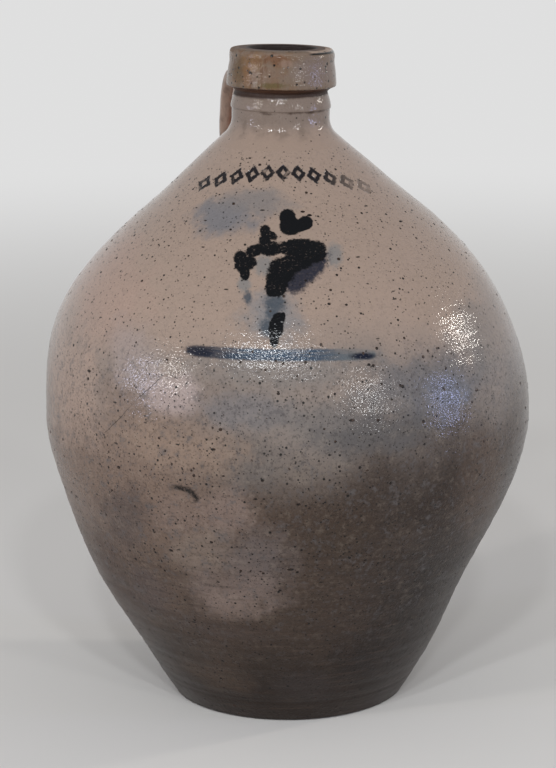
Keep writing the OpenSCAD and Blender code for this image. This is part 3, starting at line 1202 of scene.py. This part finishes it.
@dataclass(frozen=True)
class Throwing:
    """How the thrown walls stray from true: their drift, throwing lines, tilt, dents and chip.

    Drift is how far the middle line lies to the right of the axis, seen from the front. A wobble has a
    depth, a number of lobes, a phase in radians and the height over which it turns by a radian. Fields
    are millimetres, or degrees for turns.
    """

    top_z: float
    drift_heights: tuple[float, ...] = (0, 26, 76, 146, 178, 240, 292, 334, 348, 400)
    drifts: tuple[float, ...] = (1.0, 0.8, -2.6, 1.3, 1.6, -1.3, 0.0, -1.5, -1.1, -0.8)
    line_heights: tuple[float, ...] = (0, 18, 60, 130, 200, 300, 345, 356)
    line_depths: tuple[float, ...] = (0.04, 0.17, 0.20, 0.15, 0.10, 0.07, 0.05, 0.03)
    line_pitches: tuple[float, ...] = (6.3, 9.1, 15.7)
    line_shares: tuple[float, ...] = (0.45, 0.35, 0.5)
    wobbles: tuple[tuple[float, float, float, float], ...] = ((0.10, 3, 0.0, 31.0), (0.07, 5, 1.3, -19.0))
    oval_depth: float = 0.35
    oval_turn: float = 85.0
    strays_round: Band = (4.0, 30.0)
    neck_tilt: float = 1.4
    tilt_from: float = 322.0
    tilt_to: float = 352.0
    mouth_back: float = 1.0
    mouth_back_from: float = 30.0
    mouth_back_band: Band = (352.0, 374.0)
    mouth_back_round: Band = (40.0, 33.0)
    chip_turn: float = 68.0
    chip_half_turn: float = 40.0
    chip_full_turn: float = 18.0
    chip_below: Band = (4.5, 0.6)
    chip_round: Band = (20.5, 30.0)
    chip_depth: float = 0.9
    chip_teeth: float = 9.0
    dents: tuple[Dent, ...] = (
        Dent(-22, 157, 9, 5, 0.7), Dent(40, 98, 34, 24, 0.8), Dent(-60, 118, 30, 22, 0.7),
        Dent(150, 130, 40, 26, 0.8), Dent(100, 226, 36, 20, 0.5), Dent(-120, 250, 40, 24, 0.5),
        Dent(0, 306, 1e6, 14, 0.9))

    def centre(self, height: np.ndarray) -> np.ndarray:
        """Finds how far the middle line has drifted.

        Args:
            height: Heights on the jug.

        Returns:
            The drift at each.
        """
        values = np.array(self.drifts)
        knots = np.array(self.drift_heights)
        index = np.clip(np.searchsorted(knots, height) - 1, 0, len(knots) - 2)
        share = smooth(height, knots[index], knots[index + 1])
        return values[index] + (values[index + 1] - values[index]) * share

    def ripple(self, turn: np.ndarray, height: np.ndarray) -> np.ndarray:
        """Finds how far the wall stands out.

        Args:
            turn: Turns from the front, in radians.
            height: Heights on the jug.

        Returns:
            The distance at each place.
        """
        depth = np.interp(height, self.line_heights, self.line_depths)
        lines = sum(share * np.sin(FULL_TURN * height / pitch + (order + 1) * turn)
                    for order, (pitch, share) in enumerate(zip(self.line_pitches, self.line_shares)))
        oval = self.oval_depth * np.cos(2 * (turn - math.radians(self.oval_turn)))
        uneven = sum(size * np.sin(lobes * turn + phase + height / rise)
                     for size, lobes, phase, rise in self.wobbles)
        return depth * lines + oval + uneven

    def pressed(self, turn: np.ndarray, height: np.ndarray, radius: np.ndarray) -> np.ndarray:
        """Finds how deep the dents are.

        Args:
            turn: Turns from the front, in radians.
            height: Heights on the jug.
            radius: Distances from the axis.

        Returns:
            The depth at each place.
        """
        total = np.zeros_like(turn)
        for dent in self.dents:
            aside = apart(turn, dent.turn) * radius
            reach = np.hypot(aside / dent.half_width, (height - dent.up) / dent.half_height)
            total += dent.depth * smooth(reach, 1.3, 0.0)
        return total

    def moved(self, points: np.ndarray) -> np.ndarray:
        """Moves the points of a true shape to where the potter's hand left them.

        Args:
            points: Rows of x, y, z in millimetres.

        Returns:
            The same rows, moved.
        """
        right = np.array(RIGHT[:2])
        across = points[:, :2] @ right
        depth = points[:, :2] @ np.array(AWAY[:2])
        height = points[:, 2]
        radius = np.hypot(across, depth)
        turn = np.arctan2(across, -depth)
        out = self.ripple(turn, height) - self.pressed(turn, height, radius)
        share = 1.0 + out * smooth(radius, *self.strays_round) / np.maximum(radius, 1.0)
        tilt = math.tan(math.radians(self.neck_tilt)) * smooth(height, self.tilt_from, self.tilt_to)
        lean = tilt * np.maximum(height - self.tilt_to, 0.0)
        shift = self.centre(height) + lean
        back = (depth + self.mouth_back_from) * math.tan(math.radians(self.mouth_back))
        back = back * smooth(height, *self.mouth_back_band) * smooth(radius, *self.mouth_back_round)
        rise = -across * tilt - back - self.chipped(turn, height, radius)
        flat = points[:, :2] * share[:, None] + shift[:, None] * right
        return np.column_stack([flat, height + rise])

    def chipped(self, turn: np.ndarray, height: np.ndarray, radius: np.ndarray) -> np.ndarray:
        """Finds how much is broken off the top of the rim.

        Args:
            turn: Turns from the front, in radians.
            height: Heights on the jug.
            radius: Distances from the axis.

        Returns:
            The depth at each place.
        """
        window = smooth(np.abs(apart(turn, self.chip_turn)), math.radians(self.chip_half_turn),
                        math.radians(self.chip_full_turn))
        below, full = self.chip_below
        chip = window * smooth(height, self.top_z - below, self.top_z - full)
        chip = chip * smooth(radius, *self.chip_round)
        return chip * self.chip_depth * (1.0 + 0.1 * np.sin(self.chip_teeth * turn))


def placed(name: str, data: bpy.types.ID) -> bpy.types.Object:
    """Puts a new object in the scene.

    Args:
        name: Its name.
        data: Its mesh, light or camera.

    Returns:
        The object.
    """
    made = bpy.data.objects.new(name, data)
    bpy.context.scene.collection.objects.link(made)
    return made


def places_of(mesh: bpy.types.Mesh) -> np.ndarray:
    """Reads where a mesh's points are.

    Args:
        mesh: The mesh.

    Returns:
        Rows of x, y, z.
    """
    places = np.empty(len(mesh.vertices) * 3)
    mesh.vertices.foreach_get("co", places)
    return places.reshape(-1, 3)


def mesh_object(name: str, points: np.ndarray, faces: list[tuple[int, ...]]) -> bpy.types.Object:
    """Makes a smooth closed mesh whose faces point outwards.

    Args:
        name: The object's name.
        points: Rows of x, y, z in millimetres.
        faces: The points of each face.

    Returns:
        The object, in the scene.
    """
    mesh = bpy.data.meshes.new(name)
    mesh.from_pydata((points * MM).tolist(), [], faces)
    mesh.validate()
    mesh.update()
    made = placed(name, mesh)
    outwards(made)
    return made


def outwards(piece: bpy.types.Object) -> None:
    """Turns a closed mesh's faces outwards and shades them smooth but for its sharp edges.

    Args:
        piece: The object that holds the mesh.
    """
    mesh = piece.data
    mesh.calc_loop_triangles()
    corners = np.empty(len(mesh.loop_triangles) * 3, dtype=np.int64)
    mesh.loop_triangles.foreach_get("vertices", corners)
    a, b, c = places_of(mesh)[corners.reshape(-1, 3)].transpose(1, 0, 2)
    if np.einsum("ij,ij->i", a, np.cross(b, c)).sum() < 0:
        mesh.flip_normals()
    mesh.polygons.foreach_set("use_smooth", [True] * len(mesh.polygons))
    mesh.set_sharp_from_angle(angle=math.radians(SHARP_ANGLE))
    mesh.update()


def turned(name: str, outline: np.ndarray, columns: int, throwing: Throwing) -> bpy.types.Object:
    """Turns an outline round the axis and moves it to where the potter's hand left it.

    Args:
        name: The object's name.
        outline: Rows of radius and height. Its two ends lie on the axis, or else it is a loop.
        columns: The number of steps round the axis.
        throwing: How the wall strays.

    Returns:
        The closed object.
    """
    poles = outline[0][0] < ON_AXIS
    rings = outline[1:-1] if poles else outline
    angle = np.linspace(0.0, FULL_TURN, columns, endpoint=False)
    flat = np.stack([np.cos(angle), np.sin(angle)], axis=1)
    points = np.concatenate([
        np.hstack([flat * radius, np.full((columns, 1), height)]) for radius, height in rings])
    count = len(rings)
    around = np.arange(columns)
    after = (around + 1) % columns
    pairs = [(i, i + 1) for i in range(count - 1)] + ([] if poles else [(count - 1, 0)])
    faces = [tuple(face) for i, j in pairs for face in np.stack(
        [i * columns + around, i * columns + after, j * columns + after, j * columns + around], 1).tolist()]
    if poles:
        ends = [[0.0, 0.0, outline[0][1]], [0.0, 0.0, outline[-1][1]]]
        first = len(points)
        last = (count - 1) * columns
        points = np.vstack([points, ends])
        faces += [(first, b, a) for a, b in zip(around.tolist(), after.tolist())]
        faces += [(first + 1, last + a, last + b) for a, b in zip(around.tolist(), after.tolist())]
    return mesh_object(name, throwing.moved(points), faces)


def settle(piece: bpy.types.Object, material: bpy.types.Material, slot: Slot, *nodes: str) -> None:
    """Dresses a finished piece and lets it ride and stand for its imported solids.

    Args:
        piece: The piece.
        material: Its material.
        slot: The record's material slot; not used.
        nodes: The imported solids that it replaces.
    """
    piece.data.materials.clear()
    piece.data.materials.append(material)
    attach(piece, ROOT)
    if nodes:
        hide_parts(*nodes)
    LOG.info("%s: %d faces", piece.name, len(piece.data.polygons))


@dataclass(frozen=True)
class Body:
    """The two thrown sections of the body and the slip that lines them."""

    outline: Outline
    throwing: Throwing
    glaze: BodyGlaze
    coat: SlipCoat
    columns: int = 512
    lower_rings: int = 104
    upper_rings: int = 112
    inside_rings: int = 44
    lining_columns: int = 192
    foot_line: float = 14.0
    foot_line_depth: float = 0.35
    foot_line_width: float = 0.9

    def lower(self) -> bpy.types.Object:
        """Turns the lower wall, from the floor up to the widest place.

        Returns:
            The wall.
        """
        curve = self.outline.lower_curve()
        outside = self.outline.along(curve, np.linspace(0.0, 1.0, self.lower_rings))
        from_line = (outside[:, 1] - self.foot_line) / self.foot_line_width
        outside[:, 0] -= self.foot_line_depth * np.exp(-from_line ** 2)
        foot = self.outline.foot_r
        under = np.array([[0.0, 0.0], [foot * 0.35, 0.0], [foot * 0.7, 0.0], [foot, 0.0],
                          [foot + self.outline.foot_bevel * 0.7, self.outline.foot_bevel * 0.3]])
        inside = self.outline.lower_inside(np.linspace(0.0, 1.0, self.inside_rings))
        return turned("lower_wall", np.vstack([under, outside, inside[::-1]]), self.columns, self.throwing)

    def upper(self) -> bpy.types.Object:
        """Turns the upper wall, from the widest place up to the shoulder's rim.

        Returns:
            The wall.
        """
        curve = self.outline.upper_curve()
        outside = self.outline.along(curve, np.linspace(0.0, 1.0, self.upper_rings))
        inside = self.outline.upper_inside(np.linspace(0.0, 1.0, self.inside_rings))
        return turned("upper_wall", np.vstack([outside, inside[::-1]]), self.columns, self.throwing)

    def lining(self) -> bpy.types.Object:
        """Turns the coat of slip over the whole inside.

        Returns:
            The coat.
        """
        shares = np.linspace(0.0, 1.0, self.inside_rings)
        skins = []
        for skin in (0.0, self.outline.lining_t):
            lower = self.outline.lower_inside(shares, skin)
            skins.append(np.vstack([lower, self.outline.upper_inside(shares, skin)[1:]]))
        loop = np.vstack([skins[0], skins[1][::-1]])
        return turned("slip_coat", loop, self.lining_columns, self.throwing)

    def build(self) -> list[bpy.types.Object]:
        """Builds and dresses the walls and the lining.

        Returns:
            The two walls.
        """
        glaze = self.glaze.build()
        lower = self.lower()
        upper = self.upper()
        settle(lower, glaze, self.glaze.slot, "lower_body")
        settle(upper, glaze, self.glaze.slot, "shoulder")
        settle(self.lining(), self.coat.build(), self.coat.slot, "slip_lining")
        return [lower, upper]


@dataclass(frozen=True)
class Mouth:
    """The neck with its bead, and the collar round the mouth."""

    outline: Outline
    throwing: Throwing
    neck_glaze: NeckGlaze
    collar_glaze: CollarGlaze
    neck_columns: int = 256
    collar_columns: int = 384
    root_steps: int = 14
    bead_steps: int = 5
    face_steps: int = 6
    edge_steps: int = 8
    bore_steps: int = 18

    def neck(self) -> bpy.types.Object:
        """Turns the neck, bored for a cork, with the spigot that the collar sits on.

        Returns:
            The neck.
        """
        o = self.outline
        waist = o.waist_z()
        bead = o.seat_z - o.bead_drop
        root = arc([o.waist_r + o.root_round, waist], o.root_round, 180 + o.shoulder_lean, 180,
                   self.root_steps)
        front = eased([
            [o.waist_r, waist], [o.waist_r, bead - 2.4], [o.waist_r + 0.05, bead - 1.3],
            [o.bead_r - 0.15, bead - 0.9], [o.bead_r, bead - 0.2], [o.bead_r - 0.1, bead + 1.2],
            [o.bead_r - 0.9, bead + o.bead_h * 0.62], [o.groove_r + 0.5, bead + o.bead_h],
            [o.groove_r, bead + o.bead_h + 1.2], [o.groove_r, o.seat_z - 2.6],
            [o.groove_r + 1.0, o.seat_z - 1.4], [o.groove_r + 3.0, o.seat_z - 0.3],
            [o.groove_r + 3.8, o.seat_z]], self.bead_steps)
        top = np.array([[o.spigot_r, o.seat_z], [o.spigot_r, o.top_z]])
        edge = arc([o.mouth_r + o.mouth_round, o.top_z - o.mouth_round], o.mouth_round, 90, 180,
                   self.edge_steps)
        throat = o.upper_inside(np.array([1.0]))[0]
        lean = math.radians(o.shoulder_lean)
        throat_z = throat[1] + (throat[0] - o.mouth_r) / math.tan(lean)
        throat_z += o.throat_round * math.tan(lean / 2)
        bore = np.linspace([o.mouth_r, o.top_z - o.mouth_round], [o.mouth_r, throat_z], self.bore_steps)[1:]
        flare = arc([o.mouth_r + o.throat_round, throat_z], o.throat_round, 180, 180 + o.shoulder_lean,
                    self.edge_steps)
        rim = [[o.shoulder_r, o.shoulder_z]]
        outline = np.vstack([rim, root, front[1:], top, edge, bore, flare[1:], [throat]])
        return turned("neck_and_bore", outline, self.neck_columns, self.throwing)

    def collar(self) -> bpy.types.Object:
        """Turns the collar, tapered, with a shallow hollow under its rounded lip.

        Returns:
            The collar.
        """
        o = self.outline
        hollow = o.top_z - 7.6
        face = eased([
            [o.spigot_r, o.seat_z], [o.collar_r - 2.4, o.seat_z], [o.collar_r - 0.5, o.seat_z + 0.1],
            [o.collar_r, o.seat_z + 1.1], [o.collar_r - 0.1, o.seat_z + 3.5],
            [o.collar_top_r + 0.8, hollow - 4.6], [o.collar_top_r - 0.1, hollow],
            [o.collar_top_r + 0.25, hollow + 3.2], [o.collar_top_r, o.top_z - o.lip_round],
            [o.collar_top_r - 0.6, o.top_z - 0.6], [o.collar_top_r - o.lip_round, o.top_z],
            [o.spigot_r, o.top_z]], self.face_steps)
        return turned("collar_band", face, self.collar_columns, self.throwing)

    def build(self) -> None:
        """Builds and dresses the neck and the collar."""
        settle(self.neck(), self.neck_glaze.build(), self.neck_glaze.slot, "neck")
        settle(self.collar(), self.collar_glaze.build(), self.collar_glaze.slot, "collar")


class Growth(Tree):
    """A Geometry Nodes tree with named inputs, run once on an object."""

    def __init__(self, name: str) -> None:
        """Makes an empty tree that takes and gives geometry.

        Args:
            name: Its name.
        """
        super().__init__(bpy.data.node_groups.new(name, "GeometryNodeTree"))
        self.nodes.interface.new_socket("Geometry", in_out="INPUT", socket_type="NodeSocketGeometry")
        self.nodes.interface.new_socket("Geometry", in_out="OUTPUT", socket_type="NodeSocketGeometry")
        self.inputs = self.nodes.nodes.new("NodeGroupInput")
        self.values: dict[str, object] = {}

    def named(self, name: str, kind: str, value: object) -> Sock:
        """Adds a named input.

        Args:
            name: Its name.
            kind: Its socket type, without the leading NodeSocket.
            value: Its value.

        Returns:
            The input, for use in the tree.
        """
        item = self.nodes.interface.new_socket(name, in_out="INPUT", socket_type=f"NodeSocket{kind}")
        self.values[item.identifier] = value
        return Sock(self, self.inputs.outputs[name])

    def geometry(self) -> Sock:
        """Returns the geometry of the object that the tree runs on."""
        return Sock(self, self.inputs.outputs["Geometry"])

    def grow(self, host: bpy.types.Object, result: Sock, material: bpy.types.Material) -> bpy.types.Mesh:
        """Runs the tree on an object.

        Args:
            host: The object, which is removed afterwards.
            result: The geometry that the tree makes.
            material: The material that it gets.

        Returns:
            The result as a plain mesh.
        """
        plain = self.node("GeometryNodeRealizeInstances", None, {"Geometry": result})
        dressed = self.node("GeometryNodeSetMaterial", None, {"Geometry": plain, "Material": material})
        self.node("NodeGroupOutput", None, {"Geometry": dressed})
        modifier = host.modifiers.new("growth", "NODES")
        modifier.node_group = self.nodes
        for identifier, value in self.values.items():
            modifier[identifier] = value
        graph = bpy.context.evaluated_depsgraph_get()
        graph.update()
        mesh = bpy.data.meshes.new_from_object(host.evaluated_get(graph))
        bpy.data.objects.remove(host)
        return mesh


@dataclass(frozen=True)
class Strap:
    """The strap handle: one pulled length of clay from under the collar down to the shoulder."""

    outline: Outline
    throwing: Throwing
    glaze: StrapGlaze
    top_w: float = 43.2
    low_w: float = 31.6
    flare: float = 9.0
    thick: float = 11.5
    swell: float = 3.0
    drop: float = 10.0
    rise: float = 36.0
    top_pull: float = 57.0
    low_pull: float = 52.0
    low_lean: float = 3.0
    bed: float = 6.0
    landing_share: float = 0.745
    squareness: float = 0.62
    end_share: float = 0.22
    skirt_share: float = 0.10
    skirt: float = 5.0
    ridge: float = 0.5
    ridges: float = 3.0
    merge_gap: float = 0.004
    rings: int = 112
    sides: int = 72
    curve_steps: int = 200

    def path(self) -> np.ndarray:
        """Draws the strap's middle line.

        Returns:
            The control points of a cubic curve, as (out from the axis, height).
        """
        o = self.outline
        landing = o.inward(o.upper_curve(), np.array([self.landing_share]), self.bed)[0]
        leaving = np.array([o.groove_r - self.bed, o.seat_z - self.drop])
        return np.array([leaving, leaving + self.top_pull * slope(90.0 - self.rise),
                         landing + self.low_pull * slope(self.low_lean), landing])

    def build(self) -> None:
        """Builds and dresses the strap."""
        tree = Growth("pulled_strap")
        width_top = tree.named("Width at the neck", "Float", self.top_w * MM)
        width_low = tree.named("Width above the lower end", "Float", self.low_w * MM)
        thickness = tree.named("Thickness", "Float", self.thick * MM)
        corners = [(0.0, out * MM, height * MM) for out, height in self.path()]
        curve = tree.node(
            "GeometryNodeCurvePrimitiveBezierSegment", {"mode": "POSITION"},
            {"Resolution": self.curve_steps, "Start": corners[0], "Start Handle": corners[1],
             "End Handle": corners[2], "End": corners[3]})
        grid = tree.node("GeometryNodeMeshGrid", None, {
            "Size X": 1.0, "Size Y": 1.0, "Vertices X": self.rings + 1, "Vertices Y": self.sides + 1})
        along, around, _ = tree.split(tree.node("GeometryNodeInputPosition"))
        margin = 1.0 / (self.rings - 2)
        raw = (along + 0.5) * (1.0 + 2.0 * margin) - margin
        share = tree.math("MINIMUM", tree.math("MAXIMUM", raw, 0.0), 1.0)
        open_ring = tree.math("LESS_THAN", abs(raw - 0.5), 0.5 + margin / 2)
        middle = tree.node("GeometryNodeSampleCurve", {"mode": "FACTOR"},
                           {"Curves": curve, "Factor": share}, "Position")
        tangent = tree.other(middle, "Tangent")
        square = tree.vector("NORMALIZE", tree.vector("CROSS_PRODUCT", (1.0, 0.0, 0.0), tangent))
        turn = (around + 0.5) * FULL_TURN
        level = tree.math("COSINE", turn)
        raised = tree.math("SINE", turn)
        left = 1.0 - share
        top_end = tree.between(share, self.end_share, 0.0)
        low_end = tree.between(left, self.end_share, 0.0)
        skirts = tree.between(share, self.skirt_share, 0.0) + tree.between(left, self.skirt_share, 0.0)
        width = (width_top + (width_low - width_top) * share + low_end * (self.flare * MM)
                 + skirts * (self.skirt * MM))
        thick = thickness + (top_end + low_end) * (self.swell * MM) + skirts * (self.skirt * MM)
        aside = self.squared(tree, level)
        ribbed = (tree.math("COSINE", aside * (self.ridges * math.pi)) * tree.math("SIGN", raised)
                  * tree.between(abs(raised), 0.2, 0.8) * (self.ridge * MM))
        sideways = aside * width * 0.5 * open_ring
        outward = (self.squared(tree, raised) * thick * 0.5 + ribbed) * open_ring
        offset = tree.vector(
            "ADD", tree.join(sideways, 0.0, 0.0),
            tree.node("ShaderNodeVectorMath", {"operation": "SCALE"}, {"Vector": square, "Scale": outward}))
        shaped = tree.node("GeometryNodeSetPosition", None,
                           {"Geometry": grid, "Position": tree.vector("ADD", middle, offset)})
        closed = tree.node("GeometryNodeMergeByDistance", None,
                           {"Geometry": shaped, "Distance": self.merge_gap * MM})
        host = placed("strap_host", bpy.data.meshes.new("strap_host"))
        material = self.glaze.build()
        mesh = tree.grow(host, closed, material)
        strap = placed("handle_strap", mesh)
        moved = self.throwing.moved(places_of(mesh) / MM) * MM
        mesh.vertices.foreach_set("co", moved.ravel())
        outwards(strap)
        settle(strap, material, self.glaze.slot, "strap_handle")

    def squared(self, tree: Growth, value: Sock) -> Sock:
        """Returns a sine or cosine pushed outwards, which squares the strap's section."""
        return tree.math("SIGN", value) * abs(value) ** self.squareness


@dataclass(frozen=True)
class IronBlisters:
    """Blisters of melted iron that stand a little proud of the body's glaze."""

    blister: IronBlister
    density: float = 10500.0
    seed: int = 11
    least: float = 0.36
    most: float = 1.0
    flatness: float = 0.2
    crowd: float = 34.0
    smallness: float = 2.6
    dash_rarity: float = 9.0
    dash_length: float = 1.2
    drop_sides: int = 8
    drop_rings: int = 4
    underside: float = -0.9

    def build(self, walls: Sequence[bpy.types.Object]) -> None:
        """Scatters the blisters over the outside of the walls.

        Args:
            walls: The walls.
        """
        host = self.skin(walls)
        tree = Growth("iron_blisters")
        density = tree.named("Blisters in a square metre", "Float", self.density)
        seed = tree.named("Seed", "Int", self.seed)
        least = tree.named("Least radius", "Float", self.least * MM)
        most = tree.named("Greatest radius", "Float", self.most * MM)
        place = tree.node("GeometryNodeInputPosition")
        gathered = tree.between(tree.noise(place, self.crowd, 2.0, 0.5), 0.34, 0.62)
        points = tree.node("GeometryNodeDistributePointsOnFaces", {"distribute_method": "RANDOM"},
                           {"Mesh": tree.geometry(), "Density": density * gathered, "Seed": seed})
        upright = tree.other(points, "Rotation")
        chance = tree.node("FunctionNodeRandomValue", {"data_type": "FLOAT"}, {"Seed": seed}, 1)
        radius = least + (most - least) * chance ** self.smallness
        longer = tree.node("FunctionNodeRandomValue", {"data_type": "FLOAT"}, {"Seed": seed + 1.0}, 1)
        drop = tree.node("GeometryNodeMeshUVSphere", None,
                         {"Segments": self.drop_sides, "Rings": self.drop_rings, "Radius": 1.0})
        dash = longer ** self.dash_rarity * self.dash_length + 1.0
        sizes = tree.join(radius * dash, radius, radius * self.flatness)
        spots = tree.node("GeometryNodeInstanceOnPoints", None,
                          {"Points": points, "Instance": drop, "Rotation": upright, "Scale": sizes})
        material = self.blister.build()
        mesh = tree.grow(host, spots, material)
        piece = placed("iron_blisters", mesh)
        mesh.polygons.foreach_set("use_smooth", [True] * len(mesh.polygons))
        settle(piece, material, self.blister.slot)

    def skin(self, walls: Sequence[bpy.types.Object]) -> bpy.types.Object:
        """Copies the outer faces of the walls, for the blisters to grow on.

        Args:
            walls: The walls.

        Returns:
            A passing object that holds only these faces.
        """
        points: list[np.ndarray] = []
        faces: list[tuple[int, ...]] = []
        first = 0
        for wall in walls:
            for face in wall.data.polygons:
                outside = face.normal.x * face.center.x + face.normal.y * face.center.y > 0
                if outside and face.normal.z > self.underside:
                    faces.append(tuple(first + corner for corner in face.vertices))
            points.append(places_of(wall.data))
            first += len(points[-1])
        mesh = bpy.data.meshes.new("skin")
        mesh.from_pydata(np.concatenate(points).tolist(), [], faces)
        return placed("skin", mesh)


@dataclass(frozen=True)
class Lamp:
    """A soft rectangular light. Its turn is from straight behind the jug, right positive."""

    name: str
    turn: float
    lift: float
    distance: float
    width: float
    height: float
    radiance: float
    tint: Colour = WHITE

    def build(self, target: Vector) -> None:
        """Hangs the light and points it at a target.

        Args:
            target: The place that it lights.
        """
        turn = math.radians(self.turn)
        lift = math.radians(self.lift)
        level = (Vector(RIGHT) * math.sin(turn) + Vector(AWAY) * math.cos(turn)) * math.cos(lift)
        data = bpy.data.lights.new(self.name, "AREA")
        data.shape = "RECTANGLE"
        data.size = self.width
        data.size_y = self.height
        data.color = self.tint
        data.energy = self.radiance * math.pi * self.width * self.height
        lamp = placed(self.name, data)
        lamp.location = target + (level + Vector((0.0, 0.0, math.sin(lift)))) * self.distance
        lamp.rotation_euler = (target - lamp.location).to_track_quat("-Z", "Y").to_euler()
        LOG.info("%s hung", self.name)


@dataclass(frozen=True)
class Studio:
    """The floor, the lights, the world and the camera."""

    floor_r: float = 14.0
    floor_sides: int = 96
    floor_drop: float = 0.0004
    floor: Colour = srgb(226, 224, 221)
    fade_from: float = 0.55
    fade_to: float = 2.2
    ambient: float = 0.58
    ceiling: float = 0.27
    ceiling_low: float = 0.35
    ceiling_high: float = 0.95
    wall: float = 0.74
    wall_top: float = 0.34
    wall_fade: float = 0.14
    camera_distance: float = 1.4778
    camera_height: float = 0.5382
    pitch: float = 13.334
    yaw: float = 0.159
    roll: float = -0.5
    focal_pixels: float = 2526.78
    picture_height: float = 768.0
    sensor: float = 36.0
    view_end: float = 60.0
    target: Vector = Vector((0.0, 0.0, 0.2))
    lamps: tuple[Lamp, ...] = (
        Lamp("front_first", 173, 35.5, 2.4, 0.14, 0.14, 112.0, DAYLIGHT),
        Lamp("front_middle", 186, 36, 2.4, 0.14, 0.14, 128.0, DAYLIGHT),
        Lamp("front_last", 199, 35.5, 2.4, 0.14, 0.14, 110.0, DAYLIGHT),
        Lamp("right_window", 77, 20, 2.2, 0.16, 0.16, 88.0, (1.0, 0.95, 0.88)),
        Lamp("low_right", 142, 13, 2.4, 0.14, 0.32, 46.0),
        Lamp("low_left", -124, 18, 2.4, 0.15, 0.32, 60.0, (1.0, 0.97, 0.93)),
        Lamp("right_glint", 102, 4, 2.2, 0.13, 0.34, 36.0, (0.5, 0.56, 1.0)),
        Lamp("left_glint", -110, 9, 2.2, 0.1, 0.34, 46.0, (0.74, 0.76, 1.0)),
    )

    def build(self) -> None:
        """Builds everything that isn't the jug."""
        self.lay_floor()
        for lamp in self.lamps:
            lamp.build(self.target)
        self.light_world()
        self.set_camera()
        bpy.context.scene.view_settings.view_transform = "Standard"

    @staticmethod
    def seen(tree: Tree) -> Sock:
        """Tells rays that show the room from rays that light it.

        Args:
            tree: The tree of the floor or the world.

        Returns:
            1 for a ray that the camera, a gloss or a glass sends, and 0 for any other.
        """
        path = tree.node("ShaderNodeLightPath", None, None, "Is Camera Ray")
        others = [tree.other(path, name) for name in ("Is Glossy Ray", "Is Transmission Ray")]
        return tree.greatest(path, *others)

    def lay_floor(self) -> None:
        """Lays a pale round floor that fades into the wall far from the jug."""
        angle = np.linspace(0.0, FULL_TURN, self.floor_sides, endpoint=False)
        rim = [(self.floor_r * math.cos(a), self.floor_r * math.sin(a), -self.floor_drop) for a in angle]
        mesh = bpy.data.meshes.new("floor")
        mesh.from_pydata(rim, [], [tuple(range(len(rim)))])
        floor = placed("floor", mesh)
        material = bpy.data.materials.new("pale_floor")
        tree = Tree.emptied(material)
        away = tree.length(tree.node("ShaderNodeTexCoord", None, None, "Object"))
        faded = tree.between(away, self.fade_from, self.fade_to) * self.seen(tree)
        matt = tree.node("ShaderNodeBsdfDiffuse", None, {"Color": self.floor})
        glow = tree.node("ShaderNodeEmission", None, {"Color": WHITE, "Strength": self.wall})
        shader = tree.node("ShaderNodeMixShader", None, {0: faded, 1: matt, 2: glow})
        tree.node("ShaderNodeOutputMaterial", None, {"Surface": shader})
        mesh.materials.append(material)

    def light_world(self) -> None:
        """Fills the room with even light, and shows a pale wall under a dimmer ceiling."""
        world = bpy.data.worlds.new("room")
        bpy.context.scene.world = world
        tree = Tree.emptied(world)
        _, _, lift = tree.split(tree.node("ShaderNodeTexCoord", None, None, "Generated"))
        wall = tree.between(lift, self.wall_top, self.wall_fade)
        overhead = tree.between(lift, self.ceiling_low, self.ceiling_high)
        even = overhead * (self.ceiling - self.ambient) + self.ambient
        strength = even + self.seen(tree) * wall * (self.wall - self.ambient)
        sky = tree.node("ShaderNodeBackground", None, {"Color": WHITE, "Strength": strength})
        tree.node("ShaderNodeOutputWorld", None, {"Surface": sky})

    def set_camera(self) -> None:
        """Stands the camera where the photograph was taken."""
        data = bpy.data.cameras.new("camera")
        data.sensor_fit = "VERTICAL"
        data.sensor_height = self.sensor
        data.lens = self.focal_pixels / self.picture_height * self.sensor
        data.clip_end = self.view_end
        camera = placed("camera", data)
        level = Matrix.Rotation(FRONT + math.radians(self.yaw), 4, "Z")
        down = Matrix.Rotation(math.radians(90.0 - self.pitch), 4, "X")
        roll = Matrix.Rotation(math.radians(self.roll), 4, "Z")
        stand = Vector((0.0, 0.0, self.camera_height)) - Vector(AWAY) * self.camera_distance
        camera.matrix_world = Matrix.Translation(stand) @ level @ down @ roll
        bpy.context.scene.camera = camera


def main() -> None:
    """Builds the jug and its studio."""
    logging.basicConfig(level=logging.INFO, format="%(name)s: %(message)s")
    outline = Outline.read()
    throwing = Throwing(outline.top_z)
    walls = Body(outline, throwing, BodyGlaze(), SlipCoat()).build()
    Mouth(outline, throwing, NeckGlaze(), CollarGlaze()).build()
    Strap(outline, throwing, StrapGlaze()).build()
    IronBlisters(IronBlister()).build(walls)
    Studio().build()


if __name__ == "__main__":
    main()
